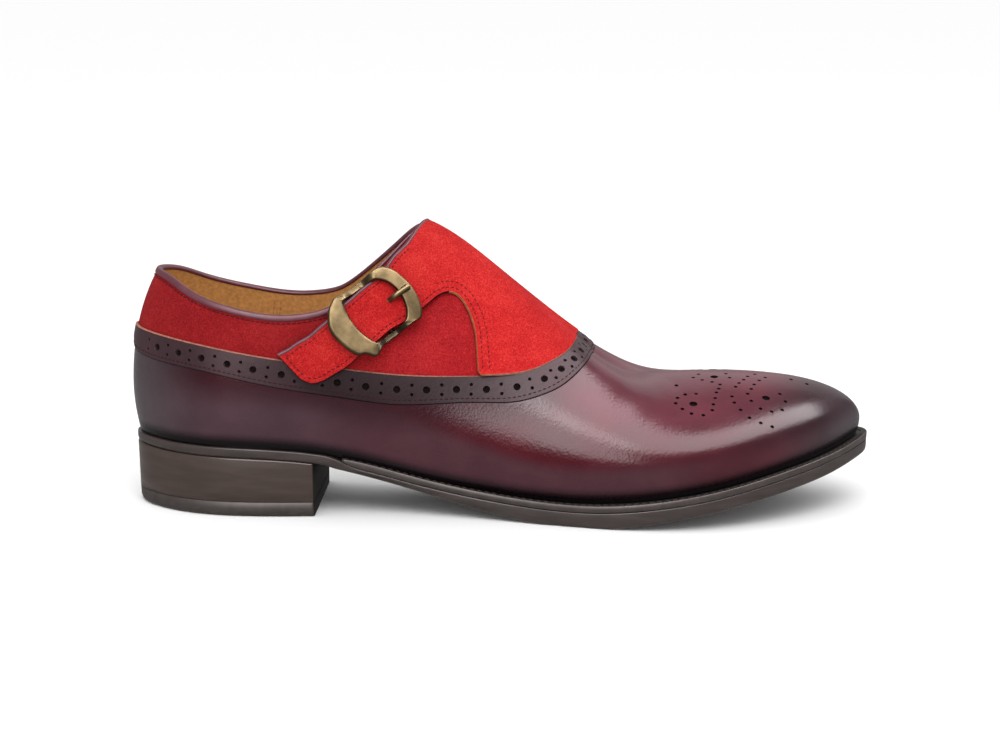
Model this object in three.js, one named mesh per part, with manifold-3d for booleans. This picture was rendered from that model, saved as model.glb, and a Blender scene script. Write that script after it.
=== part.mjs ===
import * as THREE from "three";
import Module from "manifold-3d";

// Right monk strap shoe. Millimetres: x from heel to toe, y to the inner side, z up.
const SOLE_LENGTH = 303.5;
const BALL_WIDTH = 99;
const SEAT_HEIGHT = 29.6;
const TREAD_THICKNESS = 9.2;
const TOE_SPRING = 21.6;
const INSTEP_HEIGHT = 121;
const WALL = 2;
const BAND_STEP = 1.5;
const WELT = 2.6;
const SEAT_LAYER = 4;
const TOP_PIECE = 6.2;
const HEEL_LENGTH = 78.4;
const INSOLE = 3;
const STRAP_LEATHER = 1;
const BINDING_WIDTH = 3.4;
const BUCKLE_LENGTH = 37;
const BUCKLE_WIDTH = 27;
const BUCKLE_THICKNESS = 2.3;
const FIT = 0.3;

// Plan outline of the sole: place along the length, half widths as shares of the ball width
const OUTLINE = [
  { at: 0, outer: 0, inner: 0 },
  { at: 0.03, outer: 0.177, inner: 0.177 },
  { at: 0.1, outer: 0.308, inner: 0.308 },
  { at: 0.2, outer: 0.341, inner: 0.335 },
  { at: 0.3, outer: 0.323, inner: 0.293 },
  { at: 0.4, outer: 0.325, inner: 0.251 },
  { at: 0.5, outer: 0.374, inner: 0.258 },
  { at: 0.6, outer: 0.455, inner: 0.333 },
  { at: 0.68, outer: 0.508, inner: 0.429 },
  { at: 0.74, outer: 0.518, inner: 0.48 },
  { at: 0.8, outer: 0.487, inner: 0.485 },
  { at: 0.88, outer: 0.369, inner: 0.424 },
  { at: 0.95, outer: 0.197, inner: 0.303 },
  { at: 0.985, outer: 0.056, inner: 0.192 },
  { at: 1, outer: -0.061, inner: 0.061 },
];

// Upper face of the sole: rise towards the heel and towards the toe, over the ball
const TREAD_LINE = [
  { at: 0, heel: 1, toe: 0 },
  { at: 0.0725, heel: 0.971, toe: 0 },
  { at: 0.142, heel: 0.951, toe: 0 },
  { at: 0.234, heel: 0.873, toe: 0 },
  { at: 0.316, heel: 0.657, toe: 0 },
  { at: 0.395, heel: 0.353, toe: 0 },
  { at: 0.476, heel: 0.128, toe: 0 },
  { at: 0.556, heel: 0.01, toe: 0 },
  { at: 0.635, heel: 0, toe: 0.012 },
  { at: 0.712, heel: 0, toe: 0.14 },
  { at: 0.791, heel: 0, toe: 0.338 },
  { at: 0.873, heel: 0, toe: 0.586 },
  { at: 0.929, heel: 0, toe: 0.756 },
  { at: 0.959, heel: 0, toe: 0.855 },
  { at: 1, heel: 0, toe: 1.003 },
];

// Under face of the sole, as shares of the seat height behind the ball and of the toe spring before it
const GROUND_LINE = [
  { at: 0.25, heel: 0.755, toe: 0 },
  { at: 0.315, heel: 0.588, toe: 0 },
  { at: 0.395, heel: 0.358, toe: 0 },
  { at: 0.476, heel: 0.135, toe: 0 },
  { at: 0.55, heel: 0.004, toe: 0 },
  { at: 0.6, heel: -0.02, toe: -0.005 },
  { at: 0.65, heel: 0, toe: 0.006 },
  { at: 0.712, heel: 0, toe: 0.148 },
  { at: 0.791, heel: 0, toe: 0.361 },
  { at: 0.873, heel: 0, toe: 0.588 },
  { at: 0.929, heel: 0, toe: 0.75 },
  { at: 1, heel: 0, toe: 1 },
];

// Crest of the upper from above the heel to the toe: place, share of the instep height, set towards the inner side
const CREST = [
  { at: 0.132, up: 0.975, inner: 0 },
  { at: 0.231, up: 1, inner: 0.01 },
  { at: 0.33, up: 0.992, inner: 0.02 },
  { at: 0.399, up: 0.959, inner: 0.033 },
  { at: 0.494, up: 0.793, inner: 0.05 },
  { at: 0.554, up: 0.661, inner: 0.061 },
  { at: 0.606, up: 0.544, inner: 0.07 },
  { at: 0.649, up: 0.469, inner: 0.08 },
  { at: 0.699, up: 0.44, inner: 0.082 },
  { at: 0.758, up: 0.444, inner: 0.08 },
  { at: 0.84, up: 0.441, inner: 0.076 },
];

// Sections: feather set in from the sole's edge, swell past it, height of the swell, fullness of side and crest
const SECTIONS = [
  { at: 0, feather: 1.6, swell: 2.6, rise: 20, side: 0.552, outer: 0.552, inner: 0.552 },
  { at: 0.1, feather: 1.6, swell: 2.4, rise: 20, side: 0.552, outer: 0.55, inner: 0.55 },
  { at: 0.3, feather: 2, swell: 3.5, rise: 19, side: 0.5, outer: 0.45, inner: 0.45 },
  { at: 0.5, feather: 3.5, swell: 4, rise: 17, side: 0.42, outer: 0.33, inner: 0.36 },
  { at: 0.65, feather: 5, swell: 3.2, rise: 14, side: 0.45, outer: 0.42, inner: 0.5 },
  { at: 0.8, feather: 5, swell: 2.6, rise: 11, side: 0.5, outer: 0.5, inner: 0.55 },
  { at: 0.93, feather: 4.8, swell: 1.8, rise: 8.5, side: 0.552, outer: 0.552, inner: 0.552 },
  { at: 1, feather: 4.6, swell: 1.3, rise: 6.5, side: 0.552, outer: 0.552, inner: 0.552 },
];

// Collar height as a share of the instep height
const COLLAR = [
  { at: 0.03, up: 0.807 },
  { at: 0.056, up: 0.79 },
  { at: 0.08, up: 0.76 },
  { at: 0.102, up: 0.736 },
  { at: 0.145, up: 0.705 },
  { at: 0.185, up: 0.686 },
  { at: 0.224, up: 0.681 },
  { at: 0.25, up: 0.688 },
  { at: 0.277, up: 0.708 },
  { at: 0.3, up: 0.748 },
  { at: 0.33, up: 0.814 },
  { at: 0.359, up: 0.883 },
  { at: 0.388, up: 0.946 },
  { at: 0.399, up: 0.9587 },
];

// Perforated band round the upper: station and height share of its two edges
const BAND_TOP = [
  { at: 0, up: 0.365 },
  { at: 0.043, up: 0.345 },
  { at: 0.105, up: 0.325 },
  { at: 0.2, up: 0.293 },
  { at: 0.263, up: 0.289 },
  { at: 0.314, up: 0.297 },
  { at: 0.368, up: 0.321 },
  { at: 0.414, up: 0.353 },
  { at: 0.461, up: 0.398 },
  { at: 0.502, up: 0.446 },
  { at: 0.552, up: 0.53 },
  { at: 0.586, up: 0.614 },
  { at: 0.626, up: 0.763 },
  { at: 0.657, up: 1 },
];
const BAND_FOOT = [
  { at: 0, up: 0.292 },
  { at: 0.048, up: 0.253 },
  { at: 0.109, up: 0.237 },
  { at: 0.222, up: 0.201 },
  { at: 0.303, up: 0.209 },
  { at: 0.356, up: 0.229 },
  { at: 0.405, up: 0.265 },
  { at: 0.473, up: 0.325 },
  { at: 0.533, up: 0.394 },
  { at: 0.561, up: 0.442 },
  { at: 0.593, up: 0.502 },
  { at: 0.626, up: 0.627 },
  { at: 0.659, up: 0.787 },
  { at: 0.692, up: 1 },
];

// Strap over the outer side, from the panel's arch to the free end: lower and upper edge
const STRAP = [
  { footAt: 0.486, footUp: 0.44, topAt: 0.5, topUp: 1 },
  { footAt: 0.483, footUp: 0.506, topAt: 0.487, topUp: 1 },
  { footAt: 0.48, footUp: 0.554, topAt: 0.474, topUp: 1 },
  { footAt: 0.473, footUp: 0.598, topAt: 0.458, topUp: 1 },
  { footAt: 0.461, footUp: 0.635, topAt: 0.441, topUp: 1 },
  { footAt: 0.448, footUp: 0.643, topAt: 0.424, topUp: 1 },
  { footAt: 0.436, footUp: 0.631, topAt: 0.407, topUp: 1 },
  { footAt: 0.423, footUp: 0.598, topAt: 0.392, topUp: 1 },
  { footAt: 0.405, footUp: 0.538, topAt: 0.36, topUp: 0.78 },
  { footAt: 0.389, footUp: 0.512, topAt: 0.341, topUp: 0.68 },
  { footAt: 0.377, footUp: 0.495, topAt: 0.329, topUp: 0.606 },
  { footAt: 0.365, footUp: 0.472, topAt: 0.317, topUp: 0.57 },
  { footAt: 0.35, footUp: 0.442, topAt: 0.305, topUp: 0.538 },
  { footAt: 0.338, footUp: 0.41, topAt: 0.294, topUp: 0.506 },
  { footAt: 0.326, footUp: 0.378, topAt: 0.282, topUp: 0.474 },
  { footAt: 0.311, footUp: 0.341, topAt: 0.271, topUp: 0.438 },
  { footAt: 0.297, footUp: 0.305, topAt: 0.257, topUp: 0.402 },
  { footAt: 0.28, footUp: 0.273, topAt: 0.244, topUp: 0.369 },
  { footAt: 0.266, footUp: 0.249, topAt: 0.23, topUp: 0.345 },
  { footAt: 0.252, footUp: 0.237, topAt: 0.22, topUp: 0.325 },
  { footAt: 0.238, footUp: 0.245, topAt: 0.212, topUp: 0.313 },
];

// Rise of the strap off the upper by distance from the buckle's middle, in shares of the buckle's length
const STRAP_LIFT = [
  { at: -1.1, lift: 2.2 },
  { at: -0.8, lift: 2.3 },
  { at: -0.56, lift: 2.9 },
  { at: -0.38, lift: 3.8 },
  { at: -0.27, lift: 4.4 },
  { at: -0.05, lift: 5.2 },
  { at: 0.12, lift: 5.2 },
  { at: 0.27, lift: 4.5 },
  { at: 0.38, lift: 3.8 },
  { at: 0.56, lift: 2.9 },
  { at: 0.85, lift: 1.4 },
  { at: 1.1, lift: 0.6 },
];

// Buckle: middle on the outer side, lean of its axis, clearance of bars and rails over the upper
const BUCKLE_AT = 0.326;
const BUCKLE_UP = 0.482;
const BUCKLE_LEAN = 0.6;
const BAR_CLEAR = 6.3;
const PIVOT_CLEAR = 1.6;
const PIVOT = 2.2;

const v3 = (x, y, z) => new THREE.Vector3(x, y, z);
const turnOf = (at) => Math.acos(THREE.MathUtils.clamp(1 - 2 * at, -1, 1));
const placeOf = (turn) => (1 - Math.cos(turn)) / 2;

// Natural cubic curve through the rows of a table
function curve(rows, key, along = (r) => r.at) {
  const xs = rows.map(along);
  const ys = rows.map((r) => r[key]);
  const n = xs.length;
  const h = xs.slice(1).map((x, i) => x - xs[i]);
  const bend = new Array(n).fill(0);
  const diag = new Array(n).fill(1);
  const rest = new Array(n).fill(0);
  for (let i = 1; i < n - 1; i++) {
    diag[i] = 2 * (h[i - 1] + h[i]);
    rest[i] = 6 * ((ys[i + 1] - ys[i]) / h[i] - (ys[i] - ys[i - 1]) / h[i - 1]);
  }
  for (let i = 2; i < n - 1; i++) {
    const w = h[i - 1] / diag[i - 1];
    diag[i] -= w * h[i - 1];
    rest[i] -= w * rest[i - 1];
  }
  for (let i = n - 2; i > 0; i--) bend[i] = (rest[i] - h[i] * bend[i + 1]) / diag[i];
  return (x) => {
    const c = THREE.MathUtils.clamp(x, xs[0], xs[n - 1]);
    let i = 0;
    while (i < n - 2 && c > xs[i + 1]) i++;
    const a = (xs[i + 1] - c) / h[i];
    const b = 1 - a;
    const lift = (a ** 3 - a) * bend[i] + (b ** 3 - b) * bend[i + 1];
    return a * ys[i] + b * ys[i + 1] + (lift * h[i] ** 2) / 6;
  };
}
const byTurn = (r) => turnOf(r.at);

const outerHalf = curve(OUTLINE, "outer", byTurn);
const innerHalf = curve(OUTLINE, "inner", byTurn);
const treadHeel = curve(TREAD_LINE, "heel");
const treadToe = curve(TREAD_LINE, "toe");
const groundHeel = curve(GROUND_LINE, "heel");
const groundToe = curve(GROUND_LINE, "toe");
const crestUp = curve(CREST, "up");
const crestInner = curve(CREST, "inner");
const collarUp = curve(COLLAR, "up");
const section = Object.fromEntries(
  ["feather", "swell", "rise", "side", "outer", "inner"].map((k) => [k, curve(SECTIONS, k, byTurn)]),
);

const HEEL_RISE = SEAT_HEIGHT - TREAD_THICKNESS;
function treadHeight(x) {
  const at = x / SOLE_LENGTH;
  return TREAD_THICKNESS + HEEL_RISE * treadHeel(at) + (HEEL_RISE - 0.2) * treadToe(at);
}
function groundHeight(x) {
  const at = x / SOLE_LENGTH;
  const low = SEAT_HEIGHT * groundHeel(at) + TOE_SPRING * groundToe(at);
  const blend = THREE.MathUtils.smoothstep(x, HEEL_LENGTH, HEEL_LENGTH + 8);
  const seat = treadHeight(x) - SEAT_LAYER;
  return Math.max(0, seat + (low - seat) * blend);
}

// Side is -1 on the outer side and 1 on the inner side
function outline(side, turn) {
  const y = side < 0 ? -outerHalf(turn) : innerHalf(turn);
  return { x: SOLE_LENGTH * placeOf(turn), y: BALL_WIDTH * y };
}
function outward(side, turn) {
  if (turn < 1e-4) return { x: -1, y: 0 };
  if (turn > Math.PI - 1e-4) return { x: 1, y: 0 };
  const a = outline(side, turn - 1e-3);
  const b = outline(side, turn + 1e-3);
  const len = Math.hypot(b.x - a.x, b.y - a.y);
  return { x: (-side * (b.y - a.y)) / len, y: (side * (b.x - a.x)) / len };
}

const CREST_START = CREST[0].at * SOLE_LENGTH;
const CREST_END = CREST[CREST.length - 1].at * SOLE_LENGTH;
const TUCK = 0.16;
function crestPoint(turn) {
  const x = CREST_START + (CREST_END - CREST_START) * placeOf(turn);
  return v3(x, BALL_WIDTH * crestInner(x / SOLE_LENGTH), INSTEP_HEIGHT * crestUp(x / SOLE_LENGTH));
}

// Point of the upper's outer face, up from the feather (0) to the crest (1)
function skin(side, turn, up) {
  const o = outline(side, turn);
  const n = outward(side, turn);
  const fx = o.x - n.x * section.feather(turn);
  const fy = o.y - n.y * section.feather(turn);
  const fz = treadHeight(THREE.MathUtils.clamp(fx, 0, SOLE_LENGTH)) + FIT;
  const swell = section.swell(turn);
  const rise = section.rise(turn);
  if (up < TUCK) {
    const q = 1 - up / TUCK;
    const out = swell * (1 - q * q);
    return v3(fx + n.x * out, fy + n.y * out, fz + rise * (1 - q));
  }
  const h = (up - TUCK) / (1 - TUCK);
  const top = crestPoint(turn);
  const wide = v3(fx + n.x * swell, fy + n.y * swell, fz + rise);
  const full = side < 0 ? section.outer(turn) : section.inner(turn);
  const b0 = (1 - h) ** 3;
  const b1 = 3 * h * (1 - h) ** 2;
  const b2 = 3 * h * h * (1 - h);
  const b3 = h ** 3;
  const flat = (a, t) => (b0 + b1) * a + b2 * (t + (a - t) * full) + b3 * t;
  const bow = wide.z + section.side(turn) * (top.z - wide.z);
  return v3(flat(wide.x, top.x), flat(wide.y, top.y), b0 * wide.z + b1 * bow + (b2 + b3) * top.z);
}
function faceNormal(side, turn, up) {
  const e = 2e-3;
  const along = skin(side, Math.min(turn + e, Math.PI), up).sub(skin(side, Math.max(turn - e, 0), up));
  const rise = skin(side, turn, Math.min(up + e, 1)).sub(skin(side, turn, Math.max(up - e, 0)));
  return along.cross(rise).multiplyScalar(-side).normalize();
}
function normalAt(side, turn, up) {
  const shared = turn < 1e-4 || turn > Math.PI - 1e-4 || up > 1 - 1e-4;
  if (!shared) return faceNormal(side, turn, up);
  return faceNormal(-1, turn, up).add(faceNormal(1, turn, up)).normalize();
}
const lifted = (side, turn, up, lift) =>
  skin(side, turn, up).addScaledVector(normalAt(side, turn, up), lift);

// Where the collar cuts the section at this station, or the crest if it passes above
const apexTurn = (() => {
  let low = 0.6;
  let high = 2;
  for (let i = 0; i < 40; i++) {
    const mid = (low + high) / 2;
    const p = crestPoint(mid);
    const over = p.x < COLLAR.at(-1).at * SOLE_LENGTH && p.z > INSTEP_HEIGHT * collarUp(p.x / SOLE_LENGTH);
    if (over) low = mid;
    else high = mid;
  }
  return (low + high) / 2;
})();
function collarEnd(side, turn) {
  if (turn >= apexTurn - 1e-6) return 1;
  let low = 0.3;
  let high = 1;
  for (let i = 0; i < 40; i++) {
    const mid = (low + high) / 2;
    const p = skin(side, turn, mid);
    if (p.z > INSTEP_HEIGHT * collarUp(p.x / SOLE_LENGTH)) high = mid;
    else low = mid;
  }
  return (low + high) / 2;
}

// Solids
const wasm = await Module();
wasm.setup();
function solid(points, faces) {
  const keys = new Map();
  const kept = [];
  const index = points.map((p) => {
    const key = [p.x, p.y, p.z].map((c) => Math.round(c * 2000)).join();
    if (!keys.has(key)) {
      keys.set(key, kept.length / 3);
      kept.push(p.x, p.y, p.z);
    }
    return keys.get(key);
  });
  const tris = faces
    .map((f) => f.map((i) => index[i]))
    .filter(([a, b, c]) => a !== b && b !== c && c !== a);
  const made = new wasm.Manifold(
    new wasm.Mesh({
      numProp: 3,
      vertProperties: new Float32Array(kept),
      triVerts: new Uint32Array(tris.flat()),
    }),
  );
  if (made.volume() > 0) return made;
  return new wasm.Manifold(
    new wasm.Mesh({
      numProp: 3,
      vertProperties: new Float32Array(kept),
      triVerts: new Uint32Array(tris.flatMap(([a, b, c]) => [a, c, b])),
    }),
  );
}

// A sheet over the upper: patches of skin places, thickened between two lifts, walled along its free edges
function sheet(patches, underLift, overLift) {
  const keys = new Map();
  const places = [];
  const faces = [];
  const idOf = (place) => {
    const p = skin(place.side, place.turn, place.up);
    const key = [p.x, p.y, p.z].map((c) => Math.round(c * 500)).join();
    if (!keys.has(key)) {
      keys.set(key, places.length);
      places.push(place);
    }
    return keys.get(key);
  };
  for (const { side, rows } of patches) {
    const ids = rows.map((row) => row.map((r) => idOf({ side, turn: r.turn, up: Math.min(r.up, 1) })));
    for (let i = 0; i + 1 < ids.length; i++)
      for (let j = 0; j + 1 < ids[i].length; j++) {
        const quad = [ids[i][j], ids[i + 1][j], ids[i + 1][j + 1], ids[i][j + 1]];
        if (side > 0) quad.reverse();
        faces.push([quad[0], quad[1], quad[2]], [quad[0], quad[2], quad[3]]);
      }
  }
  const real = faces.filter(([a, b, c]) => a !== b && b !== c && c !== a);
  const n = places.length;
  const under = places.map((p) => lifted(p.side, p.turn, p.up, underLift(p)));
  const over = places.map((p) => lifted(p.side, p.turn, p.up, overLift(p)));
  const edges = new Set(real.flatMap(([a, b, c]) => [`${a},${b}`, `${b},${c}`, `${c},${a}`]));
  const walls = [];
  for (const edge of edges) {
    const [a, b] = edge.split(",").map(Number);
    if (!edges.has(`${b},${a}`)) walls.push([n + b, n + a, a], [n + b, a, b]);
  }
  const skinFaces = real.map((f) => f.map((i) => n + i));
  const backFaces = real.map(([a, b, c]) => [c, b, a]);
  return solid([...under, ...over], [...skinFaces, ...backFaces, ...walls]);
}
// Trimming can leave offcuts, so only the largest body is kept
const trimmed = (made, ...cutters) =>
  cutters
    .reduce((left, cutter) => left.subtract(cutter), made)
    .decompose()
    .sort((a, b) => b.volume() - a.volume())[0];
const steps = (from, to, count) =>
  Array.from({ length: count + 1 }, (_, i) => from + ((to - from) * i) / count);

// A layer of the sole: rings of edge rows, each set in from the outline, at stations from the heel to a last turn
function layer(rows, turns) {
  const points = [];
  const half = rows.length;
  for (const turn of turns)
    for (const side of [-1, 1])
      for (const row of side < 0 ? rows : [...rows].reverse()) {
        const o = outline(side, turn);
        const n = outward(side, turn);
        const inset = typeof row.inset === "function" ? row.inset(turn) : row.inset;
        const x = o.x - n.x * inset;
        const y = o.y - n.y * inset;
        const clipped = row.reach ? Math.min(x, row.reach(y)) : x;
        points.push(v3(clipped, y, row.height(THREE.MathUtils.clamp(clipped, 0, SOLE_LENGTH))));
      }
  const ring = 2 * half;
  const faces = [];
  const quad = (a, b, c, d) => faces.push([a, b, c], [a, c, d]);
  for (let i = 0; i + 1 < turns.length; i++)
    for (let j = 0; j < ring; j++) {
      const k = (j + 1) % ring;
      quad(i * ring + j, i * ring + k, (i + 1) * ring + k, (i + 1) * ring + j);
    }
  for (const [base, flip] of [[0, false], [(turns.length - 1) * ring, true]])
    for (let j = 0; j + 1 < half; j++) {
      const q = [base + j, base + ring - 1 - j, base + ring - 2 - j, base + j + 1];
      if (flip) q.reverse();
      quad(...q);
    }
  return solid(points, faces);
}

const group = new THREE.Group();
function add(name, made, look) {
  const m = made.getMesh();
  const geometry = new THREE.BufferGeometry();
  geometry.setAttribute("position", new THREE.BufferAttribute(m.vertProperties, 3));
  geometry.setIndex(new THREE.BufferAttribute(m.triVerts, 1));
  geometry.computeVertexNormals();
  const mesh = new THREE.Mesh(geometry, new THREE.MeshStandardMaterial(look));
  mesh.name = name;
  group.add(mesh);
}
const sole = { color: 0x3a2c26, roughness: 0.45, metalness: 0 };
const burgundy = { color: 0x5a1c2a, roughness: 0.35, metalness: 0 };
const suede = { color: 0xb02328, roughness: 0.95, metalness: 0 };
const bronze = { color: 0x8c7a58, roughness: 0.35, metalness: 1 };
const tan = { color: 0x9a6234, roughness: 0.8, metalness: 0 };

// Sole: outsole with waist and toe spring, welt on its edge, heel in two parts, insole
const weltGrowth = (x) => THREE.MathUtils.smoothstep(x, HEEL_LENGTH + 2, HEEL_LENGTH + 18);
const weltStart = turnOf((HEEL_LENGTH + 10) / SOLE_LENGTH);
const soleTurns = steps(0, Math.PI, 44);
const deckHeight = (x) => treadHeight(x) - (WELT + FIT) * weltGrowth(x);
const edgeRound = 1.3;
add(
  "outsole",
  layer(
    [
      { inset: 1.6, height: groundHeight },
      { inset: 0.4, height: (x) => groundHeight(x) + edgeRound },
      { inset: 0.3, height: (x) => deckHeight(x) - 0.8 },
      { inset: 1, height: deckHeight },
    ],
    soleTurns,
  ),
  sole,
);
const weltTurns = steps(weltStart, Math.PI, 30);
const weltUnder = (x) => treadHeight(x) - Math.max(0.5, (WELT + FIT) * weltGrowth(x) - FIT);
function weltSolid() {
  const profile = [
    { inset: 0.6, height: weltUnder },
    { inset: 0, height: (x) => (weltUnder(x) + treadHeight(x)) / 2 },
    { inset: 0.5, height: treadHeight },
    { inset: 10, height: treadHeight },
    { inset: 10, height: weltUnder },
  ];
  const points = [];
  const stations = [
    ...weltTurns.map((turn) => [-1, turn]),
    ...weltTurns.slice(0, -1).reverse().map((turn) => [1, turn]),
  ];
  for (const [side, turn] of stations)
    for (const row of profile) {
      const o = outline(side, turn);
      const n = outward(side, turn);
      const x = o.x - n.x * row.inset;
      points.push(v3(x, o.y - n.y * row.inset, row.height(THREE.MathUtils.clamp(x, 0, SOLE_LENGTH))));
    }
  return tube(points, profile.length, false);
}

// A run of equal rings, capped at its ends or closed on itself
function tube(points, size, closed) {
  const count = points.length / size;
  const faces = [];
  const last = closed ? count : count - 1;
  for (let i = 0; i < last; i++)
    for (let j = 0; j < size; j++) {
      const a = i * size + j;
      const b = i * size + ((j + 1) % size);
      const c = ((i + 1) % count) * size + ((j + 1) % size);
      const d = ((i + 1) % count) * size + j;
      faces.push([a, b, c], [a, c, d]);
    }
  if (!closed)
    for (let j = 1; j + 1 < size; j++) {
      faces.push([0, j + 1, j]);
      const e = (count - 1) * size;
      faces.push([e, e + j, e + j + 1]);
    }
  return solid(points, faces);
}
add("welt", weltSolid(), { ...sole, color: 0x46382f });

const breast = (y) => HEEL_LENGTH + 2.5 * (1 - (2.7 * y) ** 2 / BALL_WIDTH ** 2) - 2.5;
const heelTurns = steps(0, turnOf((HEEL_LENGTH + 4) / SOLE_LENGTH), 22);
const heelBase = (x) => groundHeight(Math.min(x, HEEL_LENGTH)) - FIT;
add(
  "heel_stack",
  layer(
    [
      { inset: 0.9, height: () => TOP_PIECE + FIT, reach: breast },
      { inset: 0.7, height: () => (SEAT_HEIGHT + TOP_PIECE) / 2, reach: breast },
      { inset: 0.4, height: heelBase, reach: breast },
    ],
    heelTurns,
  ),
  sole,
);
add(
  "heel_top_piece",
  layer(
    [
      { inset: 2.8, height: () => 0, reach: breast },
      { inset: 1.2, height: () => 1.8, reach: breast },
      { inset: 0.9, height: () => TOP_PIECE, reach: breast },
    ],
    heelTurns,
  ),
  { color: 0x241d1a, roughness: 0.6, metalness: 0 },
);
const insoleInset = (turn) => section.feather(turn) + WALL + 0.9;
add(
  "insole",
  layer(
    [
      { inset: insoleInset, height: (x) => treadHeight(x) + FIT },
      { inset: insoleInset, height: (x) => treadHeight(x) + FIT + INSOLE },
    ],
    steps(0, Math.PI, 32),
  ),
  tan,
);

// Upper: one wall from the feather to the collar, with the band as a step of it
const openTurns = steps(0, 1, 18).map((s) => apexTurn * (1 - (1 - s) ** 1.5));
const frontTurns = steps(apexTurn, Math.PI, 22);
const upperPatches = [-1, 1].map((side) => ({
  side,
  rows: [...openTurns, ...frontTurns.slice(1)].map((turn) => {
    const end = collarEnd(side, turn);
    return [0, 0.5 * TUCK, ...steps(0, 1, 9).map((s) => TUCK + (end - TUCK) * (1 - (1 - s) ** 1.25))].map(
      (up) => ({ turn, up }),
    );
  }),
}));
const wall = sheet(upperPatches, () => -WALL, () => 0);
const wallRoom = sheet(upperPatches, () => -WALL - FIT, () => FIT);
const bandTop = curve(BAND_TOP, "up", byTurn);
const bandFoot = curve(BAND_FOOT, "up", byTurn);
const bandApex = turnOf(BAND_TOP.at(-1).at);
const footApex = turnOf(BAND_FOOT.at(-1).at);
const bandPatches = (margin) => [-1, 1].map((side) => ({
  side,
  rows: steps(0, 1, 30).map((s) => {
    const topTurn = s * (bandApex - 2 * margin);
    const footTurn = s * footApex;
    const topUp = s === 1 ? 1 : Math.min(1, bandTop(topTurn) + margin);
    const footUp = s === 1 ? 1 : bandFoot(footTurn);
    return steps(0, 1, 2).map((w) => ({
      turn: footTurn + (topTurn - footTurn) * w,
      up: footUp + (topUp - footUp) * w,
    }));
  }),
}));
const bandPlate = (margin, lift) => sheet(bandPatches(margin), () => -0.5 * WALL, () => lift);
const band = bandPlate(0, BAND_STEP);
add("upper", wall.add(band), burgundy);

// Strap and front panel: one sheet of suede over the outer side, across the crest and down the inner side
const buckleMid = skin(-1, turnOf(BUCKLE_AT), BUCKLE_UP);
const buckleOut = normalAt(-1, turnOf(BUCKLE_AT), BUCKLE_UP);
const level = v3(0, 0, 1).cross(buckleOut).normalize();
const buckleAlong = level.clone().applyAxisAngle(buckleOut, BUCKLE_LEAN);
const buckleAcross = buckleOut.clone().cross(buckleAlong);
const SUEDE_GAP = 0.5;
const strapLift = curve(STRAP_LIFT, "lift");
const liftAt = (p) => {
  if (p.side > 0) return SUEDE_GAP;
  const reach = skin(-1, p.turn, p.up).sub(buckleMid).dot(buckleAlong) / BUCKLE_LENGTH;
  const free = 1 - THREE.MathUtils.smoothstep(p.up, 0.7, 0.98);
  return SUEDE_GAP + Math.max(0, strapLift(reach) - SUEDE_GAP) * free;
};
const bandMargin = 0.011;
const bandClear = 0.004;
const strapRows = STRAP.map((r) => ({
  foot: { turn: turnOf(r.footAt), up: r.footUp },
  top: { turn: turnOf(r.topAt), up: r.topUp },
}));
strapRows[0].foot.up = bandTop(strapRows[0].foot.turn) + bandClear;
const crestRows = strapRows.filter((r) => r.top.up === 1);
const apexRow = {
  foot: { turn: turnOf(0.414), up: 0.568 },
  top: { turn: apexTurn, up: 1 },
};
const strapOnly = strapRows.filter((r) => r.top.up < 1);
const panelTurns = steps(0, 1, 8).slice(0, -1);
const frontEnd = bandApex - 0.02;
const panelRows = panelTurns.map((s) => {
  const footTurn = frontEnd + (strapRows[0].foot.turn - frontEnd) * s;
  const topTurn = frontEnd + (strapRows[0].top.turn - frontEnd) * s;
  return {
    foot: { turn: footTurn, up: Math.min(1, bandTop(footTurn) + bandClear * 1.5) },
    top: { turn: topTurn, up: 1 },
  };
});
const across = (row, count) =>
  steps(0, 1, count).map((s) => 1 - (1 - s) ** 1.4).map((w) => ({
    turn: row.foot.turn + (row.top.turn - row.foot.turn) * w,
    up: row.foot.up + (row.top.up - row.foot.up) * w,
  }));
const crossRows = [...panelRows, ...crestRows.filter((r) => r.top.turn > apexTurn), apexRow];
const outerPatch = { side: -1, rows: [...crossRows, ...strapOnly].map((r) => across(r, 8)) };
const innerFoot = (turn) => ({ turn, up: Math.min(1, bandTop(turn) + bandClear * 1.5) });
const innerFront = {
  side: 1,
  rows: crossRows.map((r) =>
    across({ foot: innerFoot(r.top.turn), top: r.top }, 8),
  ),
};
const innerRear = {
  side: 1,
  rows: [...openTurns].reverse().filter((turn) => turn > 0.12).map((turn) => {
    const foot = innerFoot(turn);
    const end = collarEnd(1, turn);
    const top = { turn, up: end };
    return across({ foot, top }, 8);
  }),
};
const strapSheet = sheet([outerPatch, innerFront, innerRear], liftAt, (p) => liftAt(p) + STRAP_LEATHER);

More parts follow.
